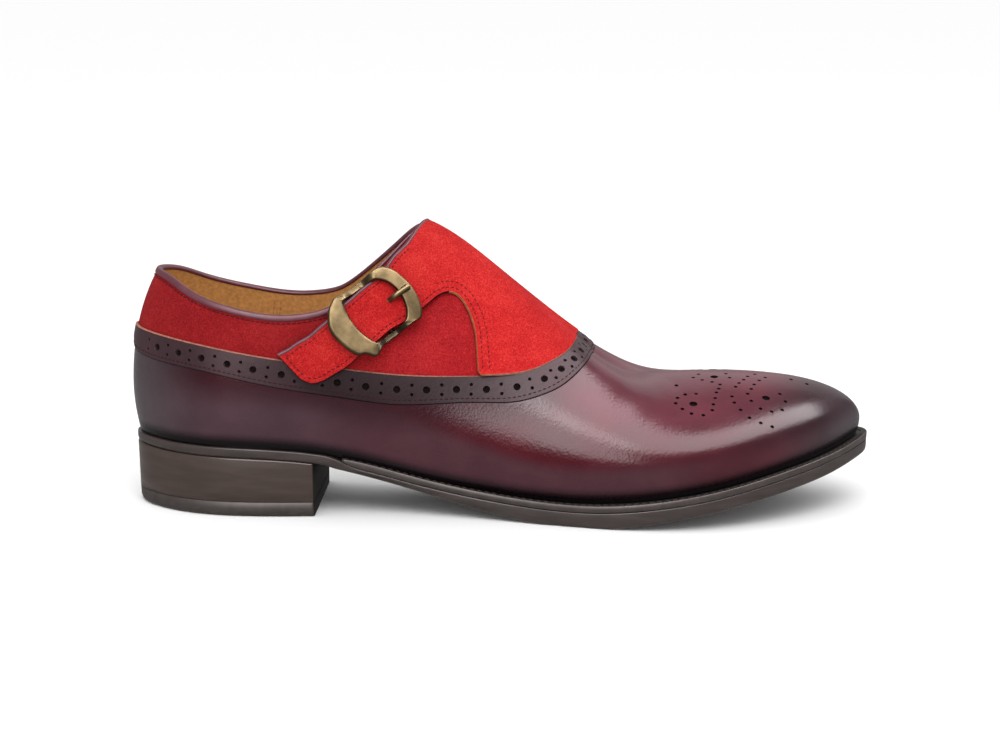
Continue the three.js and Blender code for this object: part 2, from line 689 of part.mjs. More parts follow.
// Binding over the collar's edge, a U in section
const loopPlaces = [
  ...openTurns.slice(0, -1).map((turn) => ({ side: -1, turn })),
  { side: -1, turn: apexTurn },
  ...openTurns.slice(1, -1).reverse().map((turn) => ({ side: 1, turn })),
].map((p) => ({ ...p, up: collarEnd(p.side, p.turn) }));
const loopPoints = loopPlaces.map((p) => skin(p.side, p.turn, p.up));
const alongCollar = (profile) => loopPlaces.flatMap((p, i) => {
  const n = loopPoints.length;
  const run = loopPoints[(i + 1) % n].clone().sub(loopPoints[(i + n - 1) % n]).normalize();
  const out = normalAt(p.side, p.turn, p.up);
  const rise = run.cross(out).normalize().multiplyScalar(-1);
  return profile.map((r) =>
    loopPoints[i].clone().addScaledVector(out, r.out).addScaledVector(rise, r.rise),
  );
});
const bindingGap = 0.6;
const bindingProfile = [
  { out: bindingGap, rise: -BINDING_WIDTH },
  { out: bindingGap + 0.8, rise: -BINDING_WIDTH },
  { out: bindingGap + 0.8, rise: 0.3 },
  { out: -0.5 * WALL, rise: FIT + 0.8 },
  { out: -WALL - bindingGap - 0.8, rise: 0.3 },
  { out: -WALL - bindingGap - 0.8, rise: -BINDING_WIDTH },
  { out: -WALL - bindingGap, rise: -BINDING_WIDTH },
  { out: -WALL - bindingGap, rise: FIT },
  { out: bindingGap, rise: FIT },
];
const collarBlock = tube(
  alongCollar([
    { out: -1.5 * WALL, rise: -BINDING_WIDTH - FIT },
    { out: bindingGap + 0.8 + FIT, rise: -BINDING_WIDTH - FIT },
    { out: bindingGap + 0.8 + FIT, rise: 2 },
    { out: -1.5 * WALL, rise: 2 },
  ]),
  4,
  true,
);

// Buckle's own frame: along the strap, across it, and out from the upper
const buckleFrame = new THREE.Matrix4().makeBasis(buckleAlong, buckleAcross, buckleOut).setPosition(buckleMid);
const placed = (made) => made.transform(buckleFrame.elements);
const { Manifold } = wasm;
const acrossBar = (radius, length, along, out) =>
  Manifold.cylinder(length, radius, radius, 20, true).rotate([90, 0, 0]).translate([along, 0, out]);
const halfLong = BUCKLE_LENGTH / 2;
const halfWide = BUCKLE_WIDTH / 2;
const pivotOut = PIVOT_CLEAR + PIVOT / 2;
const pivotAlong = 0.03 * BUCKLE_LENGTH;
const barOut = (along, across) => {
  const dip = (BAR_CLEAR - PIVOT_CLEAR) * (1 - THREE.MathUtils.smoothstep(Math.abs(along), 0.1 * halfLong, 0.42 * halfLong));
  return BAR_CLEAR - dip - 0.0026 * along ** 2 - 0.0018 * across ** 2;
};

// Frame edge as a loop: arcs at both ends, straight rails between
function frameLoop(wide, frontRail, frontTip, rearRail, rearTip) {
  const loop = [];
  const bow = (s, rail, tip) => rail + (tip - rail) * Math.sqrt(Math.max(0, 1 - s * s) * 0.9 + 0.1 * (1 - Math.abs(s)));
  for (const s of steps(-1, 1, 10).slice(0, -1)) loop.push([bow(s, frontRail, frontTip), s * wide]);
  for (const s of steps(0, 1, 8).slice(0, -1)) loop.push([frontRail + (rearRail - frontRail) * s, wide]);
  for (const s of steps(1, -1, 10).slice(0, -1)) loop.push([bow(s, rearRail, rearTip), s * wide]);
  for (const s of steps(0, 1, 8).slice(0, -1)) loop.push([rearRail + (frontRail - rearRail) * s, -wide]);
  return loop;
}
const outerLoop = frameLoop(halfWide, 0.68 * halfLong, 0.96 * halfLong, -0.68 * halfLong, -1.04 * halfLong);
const innerLoop = frameLoop(0.77 * halfWide, 0.45 * halfLong, 0.65 * halfLong, -0.4 * halfLong, -0.54 * halfLong);
const framePoints = outerLoop.flatMap(([a, b], i) => {
  const [c, d] = innerLoop[i];
  const mid = [(a + c) / 2, (b + d) / 2];
  const at = ([x, y], up) => v3(x, y, barOut(x, y) + up);
  return [
    at([c, d], 0),
    at([a, b], 0),
    at([a, b], 0.55 * BUCKLE_THICKNESS),
    at([(a + mid[0]) / 2, (b + mid[1]) / 2], BUCKLE_THICKNESS),
    at([(c + mid[0]) / 2, (d + mid[1]) / 2], BUCKLE_THICKNESS),
    at([c, d], 0.55 * BUCKLE_THICKNESS),
  ];
});
const prongWide = 2;
const restOut = BAR_CLEAR + 0.55 * BUCKLE_THICKNESS;
const groove = Manifold.cube([0.5 * halfLong, prongWide + 2 * FIT, 4], true).translate([
  0.84 * halfLong,
  0,
  restOut + 2 - 0.6,
]);
const frame = tube(framePoints, 6, true)
  .add(acrossBar(PIVOT / 2, 1.9 * halfWide, pivotAlong, pivotOut))
  .subtract(groove);
add("buckle_frame", placed(frame), bronze);

// Prong: ring round the pivot and an arm through the strap onto the front bar
const eye = acrossBar(PIVOT / 2 + FIT + 0.8, prongWide, pivotAlong, pivotOut);
const armStops = [
  { along: pivotAlong, out: pivotOut + PIVOT / 2 - 0.3 },
  { along: 0.22 * halfLong, out: pivotOut + PIVOT / 2 - 0.3 },
  { along: 0.42 * halfLong, out: 0.75 * restOut },
  { along: 0.6 * halfLong, out: restOut - 0.25 },
  { along: 0.91 * halfLong, out: restOut - 0.25 },
];
const armShape = [
  ...armStops.map((s) => [s.along, s.out]),
  ...[...armStops].reverse().map((s) => [s.along, s.out + 1.3]),
];
const arm = Manifold.extrude([armShape], prongWide, 0, 0, [1, 1], true).rotate([90, 0, 0]);
const bore = acrossBar(PIVOT / 2 + FIT, 3 * prongWide, pivotAlong, pivotOut);
add("buckle_prong", placed(eye.add(arm).subtract(bore)), bronze);
const hole = Manifold.cube([0.44 * halfLong, prongWide + 1.4, 14], true).translate([0.42 * halfLong, 0, BAR_CLEAR]);
add(
  "instep_strap",
  trimmed(strapSheet, placed(hole), collarBlock, bandPlate(bandMargin, BAND_STEP + FIT), wallRoom),
  suede,
);

// Tab: loop of leather round the pivot, with a tail on the upper and a slot for the prong
const tabWide = 1.05 * halfWide;
const tail = Manifold.cube([0.7 * halfLong, tabWide, 0.8], true).translate([
  pivotAlong - 0.35 * halfLong,
  0,
  pivotOut - PIVOT / 2 - FIT - 0.4,
]);
const tab = acrossBar(PIVOT / 2 + FIT + 0.7, tabWide, pivotAlong, pivotOut)
  .add(tail)
  .subtract(acrossBar(PIVOT / 2 + FIT, 3 * tabWide, pivotAlong, pivotOut))
  .subtract(
    Manifold.cube([8, prongWide + 2 * FIT, 8], true).translate([pivotAlong, 0, pivotOut]),
  );
add("buckle_tab", placed(tab), suede);

add("topline_binding", trimmed(tube(alongCollar(bindingProfile), 9, true), wallRoom), { ...burgundy, color: 0x5b2d3c });

// The origin sits under the middle of the shoe
const bounds = new THREE.Box3().setFromObject(group);
group.position.set(-(bounds.min.x + bounds.max.x) / 2, -(bounds.min.y + bounds.max.y) / 2, -bounds.min.z);

export default group;
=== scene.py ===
import math

import bpy
import numpy as np
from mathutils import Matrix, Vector
from mathutils.geometry import delaunay_2d_cdt


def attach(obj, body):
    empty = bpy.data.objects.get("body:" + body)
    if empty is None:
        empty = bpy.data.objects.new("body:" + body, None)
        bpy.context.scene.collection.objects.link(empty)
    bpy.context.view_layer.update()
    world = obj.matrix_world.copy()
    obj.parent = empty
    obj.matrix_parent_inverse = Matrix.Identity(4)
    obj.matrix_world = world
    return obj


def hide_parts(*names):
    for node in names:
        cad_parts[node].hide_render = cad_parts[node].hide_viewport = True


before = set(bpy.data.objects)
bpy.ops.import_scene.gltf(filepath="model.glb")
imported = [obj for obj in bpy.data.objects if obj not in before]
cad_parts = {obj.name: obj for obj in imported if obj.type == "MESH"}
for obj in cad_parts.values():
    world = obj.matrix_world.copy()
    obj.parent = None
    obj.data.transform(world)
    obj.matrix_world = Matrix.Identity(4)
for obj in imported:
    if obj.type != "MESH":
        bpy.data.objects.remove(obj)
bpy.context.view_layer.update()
print("frame loaded")

# Place of the heel's back on the frame's axes; every other size below is in millimetres from there
origin = {"x": -151.163, "y": 1.498, "z": 0.0}


def toFrame(p):
    return (np.asarray(p, float) + np.array([origin["x"], origin["y"], origin["z"]])) * 0.001


cameraLook = {"aim": (151.18, 0.0, 53.01), "distance": 1033.2, "height": 11.5, "turn": 2.0, "lens": 90.0}
camData = bpy.data.cameras.new("camera")
camData.lens = cameraLook["lens"]
camData.sensor_width = 36.0
camData.clip_start = 0.05
camera = bpy.data.objects.new("camera", camData)
bpy.context.scene.collection.objects.link(camera)
lookUp, lookSide = math.radians(cameraLook["height"]), math.radians(cameraLook["turn"])
ahead = np.array([
    -math.sin(lookSide) * math.cos(lookUp), math.cos(lookSide) * math.cos(lookUp), -math.sin(lookUp),
])
camera.location = toFrame(np.array(cameraLook["aim"]) - ahead * cameraLook["distance"])
camera.rotation_euler = Vector(ahead).to_track_quat("-Z", "Y").to_euler()
bpy.context.scene.camera = camera
print("camera set")

# Shape of the shoe, in rows along its length
sole = {
    "length": 303.5, "ball": 99.0, "seat": 29.6, "tread": 9.2, "toeSpring": 21.6,
    "heelLength": 78.4, "topPiece": 6.2, "seatLayer": 4.0, "welt": 2.6,
}
outlineRows = {
    "at": [0, 0.03, 0.1, 0.2, 0.3, 0.4, 0.5, 0.6, 0.68, 0.74, 0.8, 0.88, 0.95, 0.985, 1],
    "outer": [0, 0.177, 0.308, 0.341, 0.323, 0.325, 0.374, 0.455, 0.508, 0.518, 0.487, 0.369, 0.197, 0.056,
              -0.061],
    "inner": [0, 0.177, 0.308, 0.335, 0.293, 0.251, 0.258, 0.333, 0.429, 0.48, 0.485, 0.424, 0.303, 0.192,
              0.061],
}
treadRows = {
    "at": [0, 0.0725, 0.142, 0.234, 0.316, 0.395, 0.476, 0.556, 0.635, 0.712, 0.791, 0.873, 0.929, 0.959, 1],
    "heel": [1, 0.971, 0.951, 0.873, 0.657, 0.353, 0.128, 0.01, 0, 0, 0, 0, 0, 0, 0],
    "toe": [0, 0, 0, 0, 0, 0, 0, 0, 0.012, 0.14, 0.338, 0.586, 0.756, 0.855, 1.003],
}
groundRows = {
    "at": [0.25, 0.315, 0.395, 0.476, 0.55, 0.6, 0.65, 0.712, 0.791, 0.873, 0.929, 1],
    "heel": [0.755, 0.588, 0.358, 0.135, 0.004, -0.02, 0, 0, 0, 0, 0, 0],
    "toe": [0, 0, 0, 0, 0, -0.005, 0.006, 0.148, 0.361, 0.588, 0.75, 1],
}
crestRows = {
    "at": [0.132, 0.231, 0.33, 0.399, 0.494, 0.554, 0.606, 0.649, 0.699, 0.758, 0.84],
    "up": [0.975, 1, 0.992, 0.959, 0.793, 0.661, 0.544, 0.469, 0.44, 0.444, 0.441],
    "inner": [0, 0.01, 0.02, 0.033, 0.05, 0.061, 0.07, 0.08, 0.082, 0.08, 0.076],
}
sectionRows = {
    "at": [0, 0.1, 0.3, 0.5, 0.65, 0.8, 0.93, 1],
    "feather": [1.6, 1.6, 2, 3.5, 5, 5, 4.8, 4.6],
    "swell": [2.6, 2.4, 3.5, 4, 3.2, 2.6, 1.8, 1.3],
    "rise": [20, 20, 19, 17, 14, 11, 8.5, 6.5],
    "side": [0.552, 0.552, 0.5, 0.42, 0.45, 0.5, 0.552, 0.552],
    "outer": [0.552, 0.55, 0.45, 0.33, 0.42, 0.5, 0.552, 0.552],
    "inner": [0.552, 0.55, 0.45, 0.36, 0.5, 0.55, 0.552, 0.552],
}
collarRows = {
    "at": [0.03, 0.056, 0.08, 0.102, 0.145, 0.185, 0.224, 0.25, 0.277, 0.3, 0.33, 0.359, 0.388, 0.399],
    "up": [0.807, 0.79, 0.76, 0.736, 0.705, 0.686, 0.681, 0.688, 0.708, 0.748, 0.814, 0.883, 0.946, 0.9587],
}
bandRows = {
    "topAt": [0, 0.043, 0.105, 0.2, 0.263, 0.314, 0.368, 0.414, 0.461, 0.502, 0.552, 0.586, 0.626, 0.644,
              0.6535, 0.657],
    "topUp": [0.352, 0.335, 0.316, 0.29, 0.288, 0.297, 0.321, 0.353, 0.394, 0.436, 0.51, 0.594, 0.755, 0.87,
              0.95, 1],
    "footAt": [0, 0.048, 0.109, 0.222, 0.303, 0.356, 0.405, 0.473, 0.533, 0.561, 0.593, 0.626, 0.659, 0.679,
               0.6885, 0.692],
    "footUp": [0.284, 0.256, 0.242, 0.207, 0.211, 0.229, 0.265, 0.325, 0.383, 0.43, 0.504, 0.622, 0.785, 0.9,
               0.96, 1],
}
upper = {
    "height": 121.0, "tuck": 0.16, "gap": 0.3, "rows": 62,
    "patchFrom": 0.745, "patchTo": 0.993, "patchFoot": 0.28,     # the toe's patch, in which the holes are cut
}


def turnOf(at):
    return np.arccos(np.clip(1 - 2 * np.asarray(at, float), -1, 1))


def placeOf(turn):
    return (1 - np.cos(turn)) / 2


# Natural cubic curve through a table's rows
def curve(xs, ys):
    xs, ys = np.array(xs, float), np.array(ys, float)
    n, h = len(xs), np.diff(xs)
    a, b = np.zeros((n, n)), np.zeros(n)
    a[0, 0] = a[-1, -1] = 1
    for i in range(1, n - 1):
        a[i, i - 1:i + 2] = h[i - 1], 2 * (h[i - 1] + h[i]), h[i]
        b[i] = 6 * ((ys[i + 1] - ys[i]) / h[i] - (ys[i] - ys[i - 1]) / h[i - 1])
    bend = np.linalg.solve(a, b)

    def value(x):
        c = np.clip(np.asarray(x, float), xs[0], xs[-1])
        i = np.clip(np.searchsorted(xs, c, side="right") - 1, 0, n - 2)
        p, q = (xs[i + 1] - c) / h[i], (c - xs[i]) / h[i]
        bow = (p ** 3 - p) * bend[i] + (q ** 3 - q) * bend[i + 1]
        return p * ys[i] + q * ys[i + 1] + bow * h[i] ** 2 / 6

    return value


def byTurn(rows, key, at="at"):
    return curve(turnOf(rows[at]), rows[key])


outerHalf, innerHalf = byTurn(outlineRows, "outer"), byTurn(outlineRows, "inner")
treadHeel, treadToe = (curve(treadRows["at"], treadRows[k]) for k in ("heel", "toe"))
groundHeel, groundToe = (curve(groundRows["at"], groundRows[k]) for k in ("heel", "toe"))
crestUp, crestInner = (curve(crestRows["at"], crestRows[k]) for k in ("up", "inner"))
collarUp = curve(collarRows["at"], collarRows["up"])
section = {k: byTurn(sectionRows, k) for k in sectionRows if k != "at"}
bandTop, bandFoot = byTurn(bandRows, "topUp", "topAt"), byTurn(bandRows, "footUp", "footAt")
bandApex, footApex = float(turnOf(bandRows["topAt"][-1])), float(turnOf(bandRows["footAt"][-1]))


def smooth(x, lo, hi):
    t = np.clip((np.asarray(x, float) - lo) / (hi - lo), 0, 1)
    return t * t * (3 - 2 * t)


def treadHeight(x):
    at = np.clip(np.asarray(x) / sole["length"], 0, 1)
    rise = sole["seat"] - sole["tread"]
    return sole["tread"] + rise * treadHeel(at) + (rise - 0.2) * treadToe(at)


def groundHeight(x):
    at = np.asarray(x) / sole["length"]
    low = sole["seat"] * groundHeel(at) + sole["toeSpring"] * groundToe(at)
    blend = smooth(x, sole["heelLength"], sole["heelLength"] + 8)
    seat = treadHeight(x) - sole["seatLayer"]
    return np.maximum(0, seat + (low - seat) * blend)


# A place on the upper: turn runs from the heel's back (0) to the toe's tip (pi), v from the outer
# feather (-1) over the crest (0) to the inner one (1). Past either end it carries on along the other side.
def fold(turn, v):
    turn, v = np.broadcast_arrays(np.asarray(turn, float), np.asarray(v, float))
    flip = (turn < 0) | (turn > math.pi)
    turn = np.where(turn < 0, -turn, np.where(turn > math.pi, 2 * math.pi - turn, turn))
    return turn, np.where(flip, -v, v)


def outline(turn, v):
    turn, v = fold(turn, v)
    y = np.where(v < 0, -outerHalf(turn), innerHalf(turn)) * sole["ball"]
    return sole["length"] * placeOf(turn), y


def outward(turn, v):
    s = np.where(np.asarray(v) < 0, -1.0, 1.0)
    xa, ya = outline(turn - 1e-3, v)
    xb, yb = outline(turn + 1e-3, v)
    d = np.hypot(xb - xa, yb - ya)
    return -s * (yb - ya) / d, s * (xb - xa) / d


def skin(turn, v):
    turn, v = fold(turn, v)
    x, y = outline(turn, v)
    nx, ny = outward(turn, v)
    up = 1 - np.abs(v)
    fx, fy = x - nx * section["feather"](turn), y - ny * section["feather"](turn)
    fz = treadHeight(fx) + upper["gap"]
    swell, rise = section["swell"](turn), section["rise"](turn)
    start, end = crestRows["at"][0] * sole["length"], crestRows["at"][-1] * sole["length"]
    tx = start + (end - start) * placeOf(turn)
    ty = sole["ball"] * crestInner(tx / sole["length"])
    tz = upper["height"] * crestUp(tx / sole["length"])
    q = np.clip(1 - up / upper["tuck"], 0, 1)
    out = swell * (1 - q * q)
    low = (fx + nx * out, fy + ny * out, fz + rise * (1 - q))
    h = np.clip((up - upper["tuck"]) / (1 - upper["tuck"]), 0, 1)
    full = np.where(v < 0, section["outer"](turn), section["inner"](turn))
    wx, wy, wz = fx + nx * swell, fy + ny * swell, fz + rise
    b0, b1, b2, b3 = (1 - h) ** 3, 3 * h * (1 - h) ** 2, 3 * h * h * (1 - h), h ** 3
    high = (
        (b0 + b1) * wx + b2 * (tx + (wx - tx) * full) + b3 * tx,
        (b0 + b1) * wy + b2 * (ty + (wy - ty) * full) + b3 * ty,
        b0 * wz + b1 * (wz + section["side"](turn) * (tz - wz)) + (b2 + b3) * tz,
    )
    below = up < upper["tuck"]
    return np.stack([np.where(below, a, b) for a, b in zip(low, high)], -1)


def unit(v):
    return v / np.maximum(np.linalg.norm(v, axis=-1, keepdims=True), 1e-9)


def skinNormal(turn, v, surface=skin):
    e = 2e-3
    v = np.asarray(v, float)
    a = surface(turn + e, v) - surface(turn - e, v)
    b = surface(turn, np.clip(v + e, -1, 1)) - surface(turn, np.clip(v - e, -1, 1))
    return unit(np.cross(a, b))


def lifted(turn, v, lift):
    return skin(turn, v) + skinNormal(turn, v) * np.asarray(lift, float)[..., None]


# Places moved over the surface by given steps in space
def shifted(turn, v, move):
    e = 1e-3
    turn, v = np.asarray(turn, float), np.asarray(v, float)
    a = (skin(turn + e, v) - skin(turn - e, v)) / (2 * e)
    b = (skin(turn, v + e) - skin(turn, v - e)) / (2 * e)
    aa, ab, bb = (a * a).sum(-1), (a * b).sum(-1), (b * b).sum(-1)
    am, bm = (a * move).sum(-1), (b * move).sum(-1)
    det = aa * bb - ab * ab
    return np.stack([turn + (bb * am - ab * bm) / det, v + (aa * bm - ab * am) / det], -1)


def findApex():
    lo, hi = 0.6, 2.0
    for _ in range(40):
        mid = (lo + hi) / 2
        x, _, z = skin(mid, 0.0)
        at = x / sole["length"]
        over = at < collarRows["at"][-1] and z > upper["height"] * collarUp(at)
        lo, hi = (mid, hi) if over else (lo, mid)
    return (lo + hi) / 2


apexTurn = findApex()


# The collar's edge on the outer (-1) or inner (1) side, 0 from the apex on
def collarV(turn, s):
    turn = np.asarray(turn, float)
    lo, hi = np.full(turn.shape, 0.3), np.ones(turn.shape)
    for _ in range(36):
        mid = (lo + hi) / 2
        p = skin(turn, s * (1 - mid))
        above = p[..., 2] > upper["height"] * collarUp(p[..., 0] / sole["length"])
        hi, lo = np.where(above, mid, hi), np.where(above, lo, mid)
    return np.where(turn >= apexTurn - 1e-6, 0.0, s * (1 - (lo + hi) / 2))


# Soft creases of the worn-in vamp: across the flex line and down the quarter, place and depth in millimetres
creases = [
    {"x": (206, 222), "y": (10, -30), "depth": 0.22, "width": 4.5},
    {"x": (214, 233), "y": (6, -34), "depth": 0.16, "width": 3.5},
    {"x": (198, 206), "y": (-12, -36), "depth": -0.2, "width": 5.0},
    {"x": (224, 244), "y": (34, 8), "depth": 0.15, "width": 4.0},
]


def worn(turn, v):
    p = skin(turn, v)
    lift = np.zeros(p.shape[:-1])
    for c in creases:
        ax, ay, bx, by = c["x"][0], c["y"][0], c["x"][1], c["y"][1]
        long = math.hypot(bx - ax, by - ay)
        along = ((p[..., 0] - ax) * (bx - ax) + (p[..., 1] - ay) * (by - ay)) / long ** 2
        off = ((p[..., 0] - ax) * (by - ay) - (p[..., 1] - ay) * (bx - ax)) / long
        off = off + 1.6 * np.sin(along * 5)
        lift -= c["depth"] * np.exp(-(off / c["width"]) ** 2) * np.exp(-((along - 0.5) / 0.42) ** 4)
    lift *= smooth(p[..., 2], 25, 34)
    return p + skinNormal(turn, v) * lift[..., None]


# Materials
def newMaterial(name):
    m = bpy.data.materials.new(name)
    m.use_nodes = True
    return m, m.node_tree.nodes, m.node_tree.links, m.node_tree.nodes["Principled BSDF"]


def setInputs(n, values):
    for k, v in values.items():
        n.inputs[k].default_value = v


def node(nodes, kind, **values):
    n = nodes.new(kind)
    for k, v in values.items():
        if k in n.inputs:
            n.inputs[k].default_value = v
        else:
            setattr(n, k, v)
    return n


def ramp(nodes, stops):
    n = nodes.new("ShaderNodeValToRGB")
    while len(n.color_ramp.elements) < len(stops):
        n.color_ramp.elements.new(0.5)
    for e, (pos, col) in zip(n.color_ramp.elements, stops):
        e.position = pos
        e.color = (*col, 1)
    return n


def linear(r, g, b):
    def one(c):
        c /= 255
        return c / 12.92 if c <= 0.04045 else ((c + 0.055) / 1.055) ** 2.4
    return one(r), one(g), one(b)


def noise(nodes, links, coord, **values):
    n = node(nodes, "ShaderNodeTexNoise", **values)
    links.new(coord, n.inputs["Vector"])
    return n.outputs["Fac"]


# A value times a factor, with another value added
def weighted(nodes, links, value, factor, rest=None):
    n = node(nodes, "ShaderNodeMath", operation="MULTIPLY" if rest is None else "MULTIPLY_ADD")
    n.inputs[1].default_value = factor
    links.new(value, n.inputs[0])
    if rest is not None:
        links.new(rest, n.inputs[2])
    return n.outputs[0]


def mapRange(nodes, links, value, lo, hi, least=0.0, most=1.0):
    n = node(nodes, "ShaderNodeMapRange", **{"From Min": lo, "From Max": hi, "To Min": least, "To Max": most})
    links.new(value, n.inputs["Value"])
    return n.outputs["Result"]


# Two colours multiplied, the second by a share
def multiplied(nodes, links, colour, share):
    n = node(nodes, "ShaderNodeMix", data_type="RGBA", blend_type="MULTIPLY", Factor=share)
    links.new(colour, n.inputs[6])
    return n


def bumpFrom(nodes, links, shader, height, strength, distance):
    bump = node(nodes, "ShaderNodeBump", Strength=strength, Distance=distance)
    links.new(height, bump.inputs["Height"])
    links.new(bump.outputs["Normal"], shader.inputs["Normal"])


# Hand-finished leather: its colour comes from the piece's own patina, on the upper with painted reflections,
# painted sheen and painted shade in it, clouded and grained by noise
def leather(name, rough, gloss, cloud, grain):
    m, nodes, links, shader = newMaterial(name)
    coord = node(nodes, "ShaderNodeTexCoord").outputs["Object"]
    clouds = noise(nodes, links, coord, Scale=42.0, Detail=5.0)
    wrinkles = noise(nodes, links, coord, Scale=520.0, Detail=5.0, Roughness=0.6)
    pebbles = node(nodes, "ShaderNodeTexVoronoi", Scale=900.0)
    links.new(coord, pebbles.inputs["Vector"])
    patinaAndLight = node(nodes, "ShaderNodeAttribute", attribute_name="patinaAndLight")
    tone = ramp(nodes, [(0.15, (1 - 1.6 * cloud,) * 3), (0.85, (1,) * 3)])
    links.new(clouds, tone.inputs["Fac"])
    mix = multiplied(nodes, links, patinaAndLight.outputs["Color"], 1.0)
    links.new(tone.outputs["Color"], mix.inputs[7])
    links.new(mix.outputs[2], shader.inputs["Base Color"])
    links.new(mapRange(nodes, links, clouds, 0.1, 0.9, *rough), shader.inputs["Roughness"])
    shader.inputs["Specular IOR Level"].default_value = gloss
    height = weighted(nodes, links, pebbles.outputs["Distance"], 0.5, wrinkles)
    bumpFrom(nodes, links, shader, height, grain, 0.00025)
    return m


# Napped suede with painted shade towards the heel: its colour is darkened there by the rear factor, of which
# the outer side takes its share
def suede(name, dark, light, fleck, rear, outerShadeShare):
    m, nodes, links, shader = newMaterial(name)
    coord = node(nodes, "ShaderNodeTexCoord").outputs["Object"]
    fine = noise(nodes, links, coord, Scale=1600.0, Detail=5.0, Roughness=0.75)
    broad = noise(nodes, links, coord, Scale=55.0, Detail=4.0)
    nap = noise(nodes, links, coord, Scale=260.0, Detail=3.0, Distortion=0.8)
    rest = weighted(nodes, links, nap, 0.1, weighted(nodes, links, broad, 0.2))
    pile = weighted(nodes, links, fine, 0.7, rest)
    colour = ramp(nodes, [(0.38, dark), (0.5, light), (0.63, fleck)])
    links.new(pile, colour.inputs["Fac"])
    # painted shade: darker towards the heel, on the outer side only by its share
    where = node(nodes, "ShaderNodeSeparateXYZ")
    links.new(coord, where.inputs[0])
    shadeAmount = node(nodes, "ShaderNodeMath", operation="MULTIPLY")
    links.new(mapRange(nodes, links, where.outputs["X"], -0.01, -0.07), shadeAmount.inputs[0])
    links.new(mapRange(nodes, links, where.outputs["Y"], 0.0, 0.012, outerShadeShare), shadeAmount.inputs[1])
    paintedShade = multiplied(nodes, links, colour.outputs["Color"], 1.0)
    paintedShade.inputs[7].default_value = (rear ** 2.2, rear ** 2.2, rear ** 2.2, 1)
    links.new(shadeAmount.outputs[0], paintedShade.inputs["Factor"])
    links.new(paintedShade.outputs[2], shader.inputs["Base Color"])
    setInputs(shader, {
        "Roughness": 0.95, "Specular IOR Level": 0.08,
        "Sheen Weight": 0.12, "Sheen Roughness": 0.5, "Sheen Tint": (*fleck, 1),
    })
    bumpFrom(nodes, links, shader, pile, 0.7, 0.0005)
    return m


def plain(name, colour, rough=0.6, metal=0.0, spots=0.15, bump=0.1, scale=300.0, gloss=0.4, stretch=(1, 1, 1)):
    m, nodes, links, shader = newMaterial(name)
    coord = node(nodes, "ShaderNodeTexCoord").outputs["Object"]
    mapping = node(nodes, "ShaderNodeMapping", Scale=stretch)
    links.new(coord, mapping.inputs["Vector"])
    height = noise(nodes, links, mapping.outputs["Vector"], Scale=scale, Detail=5.0)
    low = tuple(c * (1 - spots) for c in colour)
    high = tuple(min(1, c * (1 + spots)) for c in colour)
    tone = ramp(nodes, [(0.3, low), (0.7, high)])
    links.new(height, tone.inputs["Fac"])
    links.new(tone.outputs["Color"], shader.inputs["Base Color"])
    setInputs(shader, {"Roughness": rough, "Metallic": metal, "Specular IOR Level": gloss})
    bumpFrom(nodes, links, shader, height, bump, 0.0003)
    return m


materials = {
    "burgundy": leather("burgundy leather", (0.15, 0.27), 0.22, 0.3, 0.2),
    "band": leather("band leather", (0.3, 0.45), 0.14, 0.3, 0.2),
    "binding": plain("binding leather", linear(92, 46, 56), rough=0.42, spots=0.2, scale=240.0, gloss=0.3),
    "suedeFront": suede("front suede", linear(146, 18, 21), linear(186, 28, 30), linear(212, 62, 54), 0.7, 0.4),
    "suedeRear": suede("rear suede", linear(126, 16, 22), linear(164, 24, 30), linear(186, 48, 49), 0.8, 1.0),
    "lining": plain("tan lining", linear(194, 140, 80), rough=0.8, spots=0.2, bump=0.5, scale=700.0, gloss=0.1),
    "rawEdge": plain("raw edge", linear(172, 118, 100), rough=0.85, spots=0.3, scale=600.0, gloss=0.1),
    "tanEdge": plain("tan edge", linear(164, 108, 70), rough=0.85, spots=0.3, scale=600.0, gloss=0.1),
    "redEdge": plain("strap edge", linear(66, 16, 22), rough=0.85, gloss=0.1),
    "thread": plain("thread", linear(52, 14, 20), rough=0.8, gloss=0.1),
    "weltThread": plain("welt thread", linear(58, 50, 44), rough=0.8, gloss=0.1),
    "outsole": plain("sole edge", linear(58, 50, 48), rough=0.34, spots=0.22, scale=70.0, gloss=0.32,
                     stretch=(1, 1, 6)),
    "welt": plain("welt leather", linear(60, 52, 50), rough=0.4, spots=0.22, scale=200.0),
    "weltTop": plain("welt top", linear(20, 16, 16), rough=0.55, spots=0.3),
    "heel": plain("heel leather", linear(62, 50, 44), rough=0.3, spots=0.2, scale=60.0, stretch=(1, 1, 7)),
    # painted shade: the heel's breast face is near black for the shade it stands in
    "breast": plain("heel breast painted shade", linear(26, 20, 18), rough=0.8, gloss=0.1),
    "topPiece": plain("top piece", linear(56, 48, 45), rough=0.5, spots=0.2),
    "brass": plain("antique brass", linear(96, 84, 60), rough=0.42, metal=1.0, spots=0.5, bump=0.12,
                   scale=150.0),
    "gunmetal": plain("darkened metal", linear(70, 64, 50), rough=0.4, metal=1.0, spots=0.3, scale=200.0),
    "hole": plain("hole shadow", linear(16, 9, 10), rough=0.9, gloss=0.05),
}
print("materials made")


